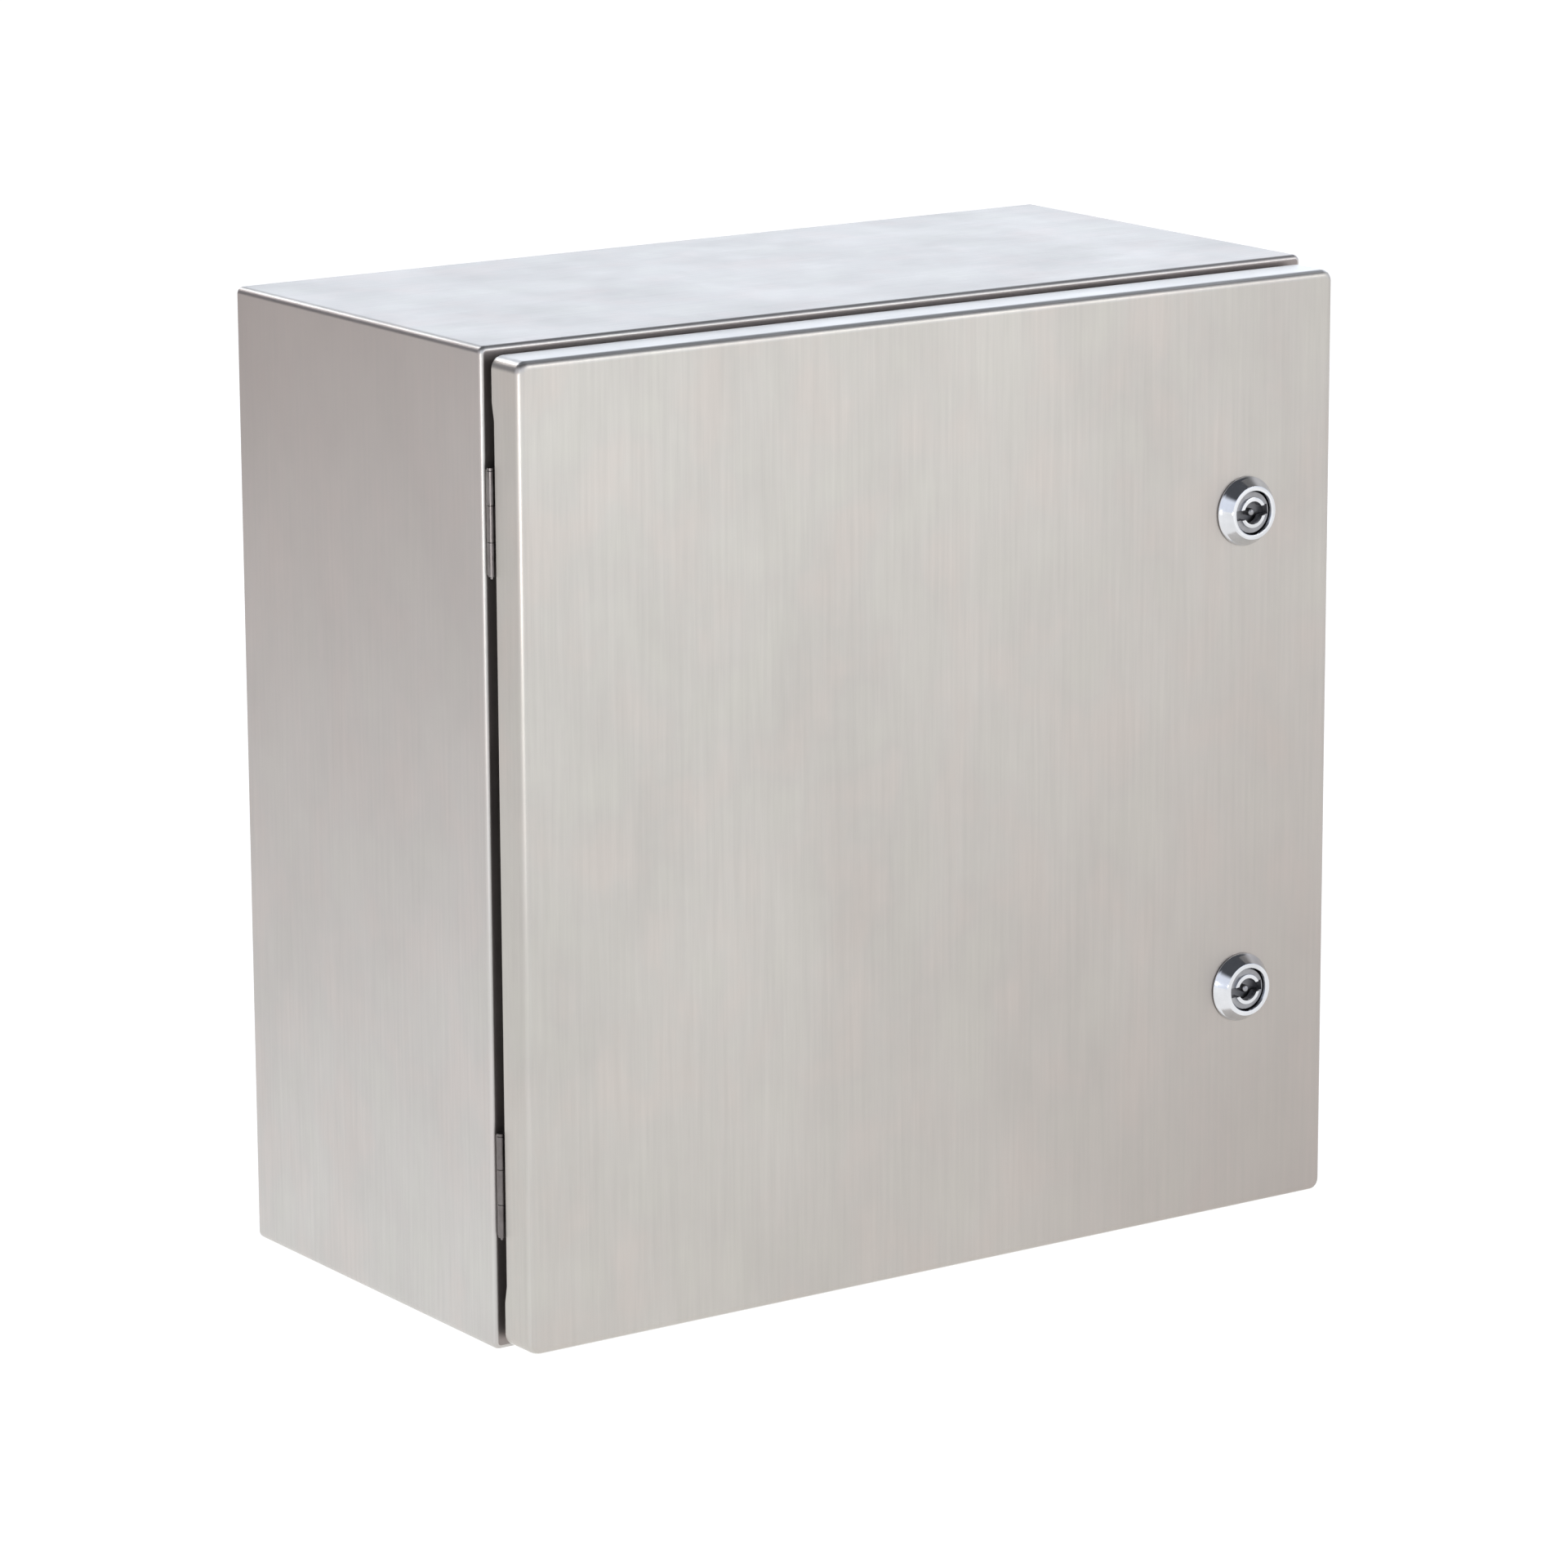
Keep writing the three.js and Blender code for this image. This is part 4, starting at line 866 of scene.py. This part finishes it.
def fuse_carrier():
    """The hinged lid: a rounded tray with a window, a pull handle, hooks for the links, and pivots."""
    front, back = ahead(88), ahead(58.5)
    half_x, half_z, centre = 49.5, 51, (0, SWITCH_Z + 1)
    wall = 2.5
    path = [(3.6, front), *fillet(3.2, front, 1), (0, back - 0.6), (0.2, back - 0.15), (0.6, back)]
    path += [(wall - 0.6, back), (wall - 0.2, back - 0.15), (wall, back - 0.6), (wall, front + wall + 1.2)]
    path += [(wall + 0.35, front + wall + 0.35), (wall + 1.2, front + wall)]
    lid = loft("carrier_lid", [sheet_ring(half_x, half_z, 5, inset, y, centre) for inset, y in path])
    hole = plate("hole", [rectangle(42, 18, (0, SWITCH_Z), 4)], (front - 4, front + 6), edge=0.05)
    add(cut(lid, [hole]), "carrier", GREY_PLASTIC, ["fuse_carrier"], angle=30)
    window_frame = [rectangle(45.4, 21.4, (0, SWITCH_Z), 6.5), rectangle(42, 18, (0, SWITCH_Z), 4)]
    surround = plate("window_surround", window_frame, (front - 0.9, front + 0.6), edge=0.4)
    add(surround, "carrier", GREY_PLASTIC)

    tip, bar_back = ahead(110), ahead(104)
    outer, inner = 32, 26
    arch = [(-outer, front + 1), (-outer, tip), (outer, tip), (outer, front + 1)]
    arch += [(inner, front + 1), (inner, bar_back), (-inner, bar_back), (-inner, front + 1)]
    handle_z = (SWITCH_Z + 36, SWITCH_Z + 46)
    handle = plate("pull_handle", [rounded(arch, 4.5, 6)], handle_z, FACING_UP, edge=1.6, round_steps=4)
    add(handle, "carrier", GREY_PLASTIC)
    rib_z = (handle_z[0] + 2, handle_z[1] - 2)
    for i in range(7):
        x = (i - 3) * 6
        rib = bar(f"handle_rib_{i + 1}", (x - 1, x + 1), (tip - 0.6, tip + 0.8), rib_z, 0.5)
        add(rib, "carrier", GREY_PLASTIC)
    paper_edge = rectangle(30, 7, (0, SWITCH_Z - 35), 1.5)
    label = plate("carrier_label", [paper_edge], (front - 0.35, front + 0.2), edge=0.12)
    add(label, "carrier", PAPER)

    lip, slot_front, slot_back, mouth = ahead(87), ahead(79.3), ahead(76.7), ahead(75)
    for pole in POLES:
        x = pole_x(pole)
        outline = [(x - 9.5, lip), (x + 9.5, lip), (x + 9.5, mouth), (x + 3.3, mouth), (x + 3.3, slot_back)]
        outline += [(x + 7.3, slot_back), (x + 7.3, slot_front), (x - 7.3, slot_front), (x - 7.3, slot_back)]
        outline += [(x - 3.3, slot_back), (x - 3.3, mouth), (x - 9.5, mouth)]
        for name, span in (("top", (22, 29)), ("bottom", (-29, -22))):
            z = [SWITCH_Z + value for value in span]
            hook = plate(f"lug_hook_{pole}_{name}", [outline], z, FACING_UP, edge=0.3)
            add(hook, "carrier", GREY_PLASTIC)
    pivot = (ahead(62), SWITCH_Z - 54)
    ear = [(ahead(66), SWITCH_Z - 48), *arc(pivot, 4, 180, 360, 16), (ahead(58.5), SWITCH_Z - 48)]
    for side, name in ((-1, "left"), (1, "right")):
        parts = (("pivot_ear", ear, 45, 49.5), ("pivot_pin", circle(3, pivot, 40), 46, 52.7))
        for part, outline, near, far in parts:
            piece = plate(f"{part}_{name}", [outline], (side * near, side * far), FACING_SIDE, edge=0.4)
            add(piece, "carrier", GREY_PLASTIC)


def fuse_link(pole):
    """A ceramic body with riveted metal end plates, two blades, two pull lugs and a red indicator."""
    x = pole_x(pole)
    front, back = ahead(74), ahead(34)
    path = [(2.2, front), *fillet(1.8, front, 1), *reversed(fillet(1.8, back, -1)), (2.2, back)]
    rings = [sheet_ring(10.5, 24.6, 3.5, inset, y, (x, SWITCH_Z)) for inset, y in path]
    body = loft(f"fuse_body_{pole}", rings)
    add(body, "carrier", CERAMIC, [f"fuse_link_{pole}"], angle=40)
    paper_edge = rectangle(7.5, 13, (x, SWITCH_Z - 4), 1)
    label = plate(f"fuse_label_{pole}", [paper_edge], (front - 0.2, front + 0.2), edge=0.08)
    add(label, "carrier", PAPER)
    flag = [(0, front + 0.5), (2.1, front + 0.5), (2.1, front - 0.4), (1.6, front - 0.8), (0, front - 1)]
    indicator = turned(f"fuse_indicator_{pole}", flag, x, SWITCH_Z + 15, 32)
    add(indicator, "carrier", RED_PLASTIC)
    middle = (front + back) / 2
    for side, end in ((1, "line"), (-1, "load")):
        cap_z = (SWITCH_Z + side * 24.3, SWITCH_Z + side * 26.5)
        cap_edge = rectangle(10.2, 19.6, (x, middle), 3)
        cap = plate(f"fuse_cap_{pole}_{end}", [cap_edge], cap_z, FACING_UP, edge=0.5)
        add(cap, "carrier", SILVER)
        top = SWITCH_Z + side * 26.4
        dome = [(0, top), (1.7, top), (1.5, top + side * 0.55), (0.9, top + side * 0.85)]
        dome += [(0, top + side * 0.95)]
        for i, (dx, dy) in enumerate(((-7.4, -16.4), (7.4, -16.4), (-7.4, 16.4), (7.4, 16.4))):
            rivet = turned_upright(f"fuse_rivet_{pole}_{end}_{i + 1}", dome, x + dx, middle + dy, 20)
            add(rivet, "carrier", SILVER, angle=50)
        reach = [SWITCH_Z + side * 26, SWITCH_Z + side * 39.25]
        corners = [(ahead(51), reach[0]), (ahead(36), reach[0])]
        corners += [(ahead(36), reach[1]), (ahead(51), reach[1])]
        blade_edge = rounded(corners, 2.4)
        blade = plate(f"fuse_blade_{pole}_{end}", [blade_edge], (x - 3, x + 3), FACING_SIDE, edge=0.9)
        add(blade, "carrier", SILVER)
        tee = [(x - 3, front + 1), (x - 3, ahead(77)), (x - 7, ahead(77)), (x - 7, ahead(79))]
        tee += [(x + 7, ahead(79)), (x + 7, ahead(77)), (x + 3, ahead(77)), (x + 3, front + 1)]
        lug_z = (SWITCH_Z + side * 23.5, SWITCH_Z + side * 26.5)
        lug = plate(f"pull_lug_{pole}_{end}", [tee], lug_z, FACING_UP, edge=0.3)
        add(lug, "carrier", SILVER)


def bar_screws(bar_name, node, first, last, count):
    """A row of slotted terminal screws along an earth or neutral bar."""
    low, high = extent(node)
    z = (low.z + high.z) / 2
    face = low.y
    for i in range(count):
        x = first + (last - first) * i / (count - 1)
        head = [(0, face + 0.5), (2.4, face + 0.5), (2.4, face - 0.2), (3.6, face - 0.2), (3.8, face - 0.5)]
        head += [(3.8, face - 2.0), (3.3, face - 2.5), (0, face - 2.6)]
        screw = turned(f"{bar_name}_screw_{i + 1}", head, x, z, 36)
        slot = bar("slot", (x - 5, x + 5), (face - 3.2, face - 1.2), (z - 0.55, z + 0.55), 0.05)
        centre = Matrix.Translation(Vector((x, 0, z)) * MM)
        turn = Matrix.Rotation(math.radians(37 * i + 12), 4, "Y")
        slot.data.transform(centre @ turn @ centre.inverted())
        add(cut(screw, [slot]), "enclosure", ZINC)


# ---------------------------------------------------------------- camera, lights and floor


def camera():
    """A long lens, which looks at the object from its front left and a little from above."""
    data = bpy.data.cameras.new("camera")
    data.lens = 149.5
    data.sensor_width = 36
    data.clip_end = 100
    holder = bpy.data.objects.new("camera", data)
    holder.location = (-1.490, -2.269, 0.602)
    holder.rotation_euler = (math.radians(90 - 13.18), math.radians(0.26), math.radians(-34.52))
    bpy.context.scene.collection.objects.link(holder)
    bpy.context.scene.camera = holder


def softbox(name, place, target, size, watts, color=(1, 1, 1)):
    """A rectangular light at a place, which faces a target."""
    data = bpy.data.lights.new(name, "AREA")
    data.shape = "RECTANGLE"
    data.size, data.size_y = size
    data.energy = watts
    data.color = color
    lamp = bpy.data.objects.new(name, data)
    lamp.location = place
    lamp.rotation_euler = (Vector(target) - Vector(place)).to_track_quat("-Z", "Y").to_euler()
    bpy.context.scene.collection.objects.link(lamp)


DARK_CEILING = 0.09
DARK_CORNER = 0.22
HORIZON_GLOW = (0.93, 0.98, 1.10)


def patch(tree, direction, towards, inner, outer, level):
    """level within the angle inner of a direction, 1 beyond outer, and a soft change between. Degrees."""
    dot = tree.nodes.new("ShaderNodeVectorMath")
    dot.operation = "DOT_PRODUCT"
    tree.links.new(direction, dot.inputs[0])
    dot.inputs[1].default_value = Vector(towards).normalized()
    ramp = tree.nodes.new("ShaderNodeMapRange")
    ramp.interpolation_type = "SMOOTHSTEP"
    tree.links.new(dot.outputs["Value"], ramp.inputs["Value"])
    limits = (math.cos(math.radians(outer)), math.cos(math.radians(inner)), 1.0, level)
    for socket, value in zip(("From Min", "From Max", "To Min", "To Max"), limits):
        ramp.inputs[socket].default_value = value
    return ramp.outputs[0]


def times(tree, a, b):
    product = tree.nodes.new("ShaderNodeMath")
    product.operation = "MULTIPLY"
    tree.links.new(a, product.inputs[0])
    tree.links.new(b, product.inputs[1])
    return product.outputs[0]


def studio():
    """A pale room with a dark ceiling and one dark corner, for the metal to reflect, and the lights."""
    world = bpy.data.worlds.new("studio")
    bpy.context.scene.world = world
    world.use_nodes = True
    tree = world.node_tree
    direction = tree.nodes.new("ShaderNodeTexCoord").outputs["Generated"]
    ceiling = patch(tree, direction, (0, 0, 1), 42, 58, DARK_CEILING)
    corner = patch(tree, direction, (-0.60, 0.78, 0.12), 16, 38, DARK_CORNER)
    level = times(tree, ceiling, corner)
    background = tree.nodes["Background"]
    background.inputs["Color"].default_value = (*HORIZON_GLOW, 1)
    tree.links.new(level, background.inputs["Strength"])
    softbox("upright_folds", (-0.68, -0.53, 0.06), (-0.2, -0.2, 0.17), (0.10, 0.10), 0.6)
    softbox("top_left_fold", (-0.45, 1.9, 1.35), (-0.2, -0.1, 0.2), (0.9, 0.7), 7)
    softbox("top_sheet", (1.15, 1.55, 0.62), (0, -0.1, 0.2), (1.9, 0.9), 5.0, (0.90, 0.95, 1.0))
    softbox("door_face", (0.42, -0.95, 0.16), (-0.1, -0.21, 0.12), (0.5, 0.5), 0.15, (1, 0.985, 0.95))
    softbox("door_top_bend", (1.15, -1.9, 0.95), (0, -0.2, 0.2), (1.2, 0.35), 5, (1, 0.97, 0.90))


FLOOR_REACH = 60  # metres, each way from the middle


def floor():
    """A floor so wide that its edge lies at the horizon."""
    bm = bmesh.new()
    bmesh.ops.create_grid(bm, x_segments=8, y_segments=8, size=FLOOR_REACH)
    ground = from_bmesh("floor", bm)
    ground.location.z = SHELL_LOW.z * MM
    ground.data.materials.append(painted_floor("pale_floor"))


bpy.context.scene.view_settings.view_transform = "Standard"
camera()
studio()
floor()
body_shell()
plate_studs()
gland_studs()
door_skin()
door_seal()
for each in PLACES:
    lock(each)
carried_over()
base_ribs()
terminal_cover("line", 1)
terminal_cover("load", -1)
fuse_carrier()
for each in POLES:
    fuse_link(each)
bar_screws("earth", "earth_bar", -128, -44, 8)
bar_screws("neutral", "neutral_bar", 55, 115, 6)
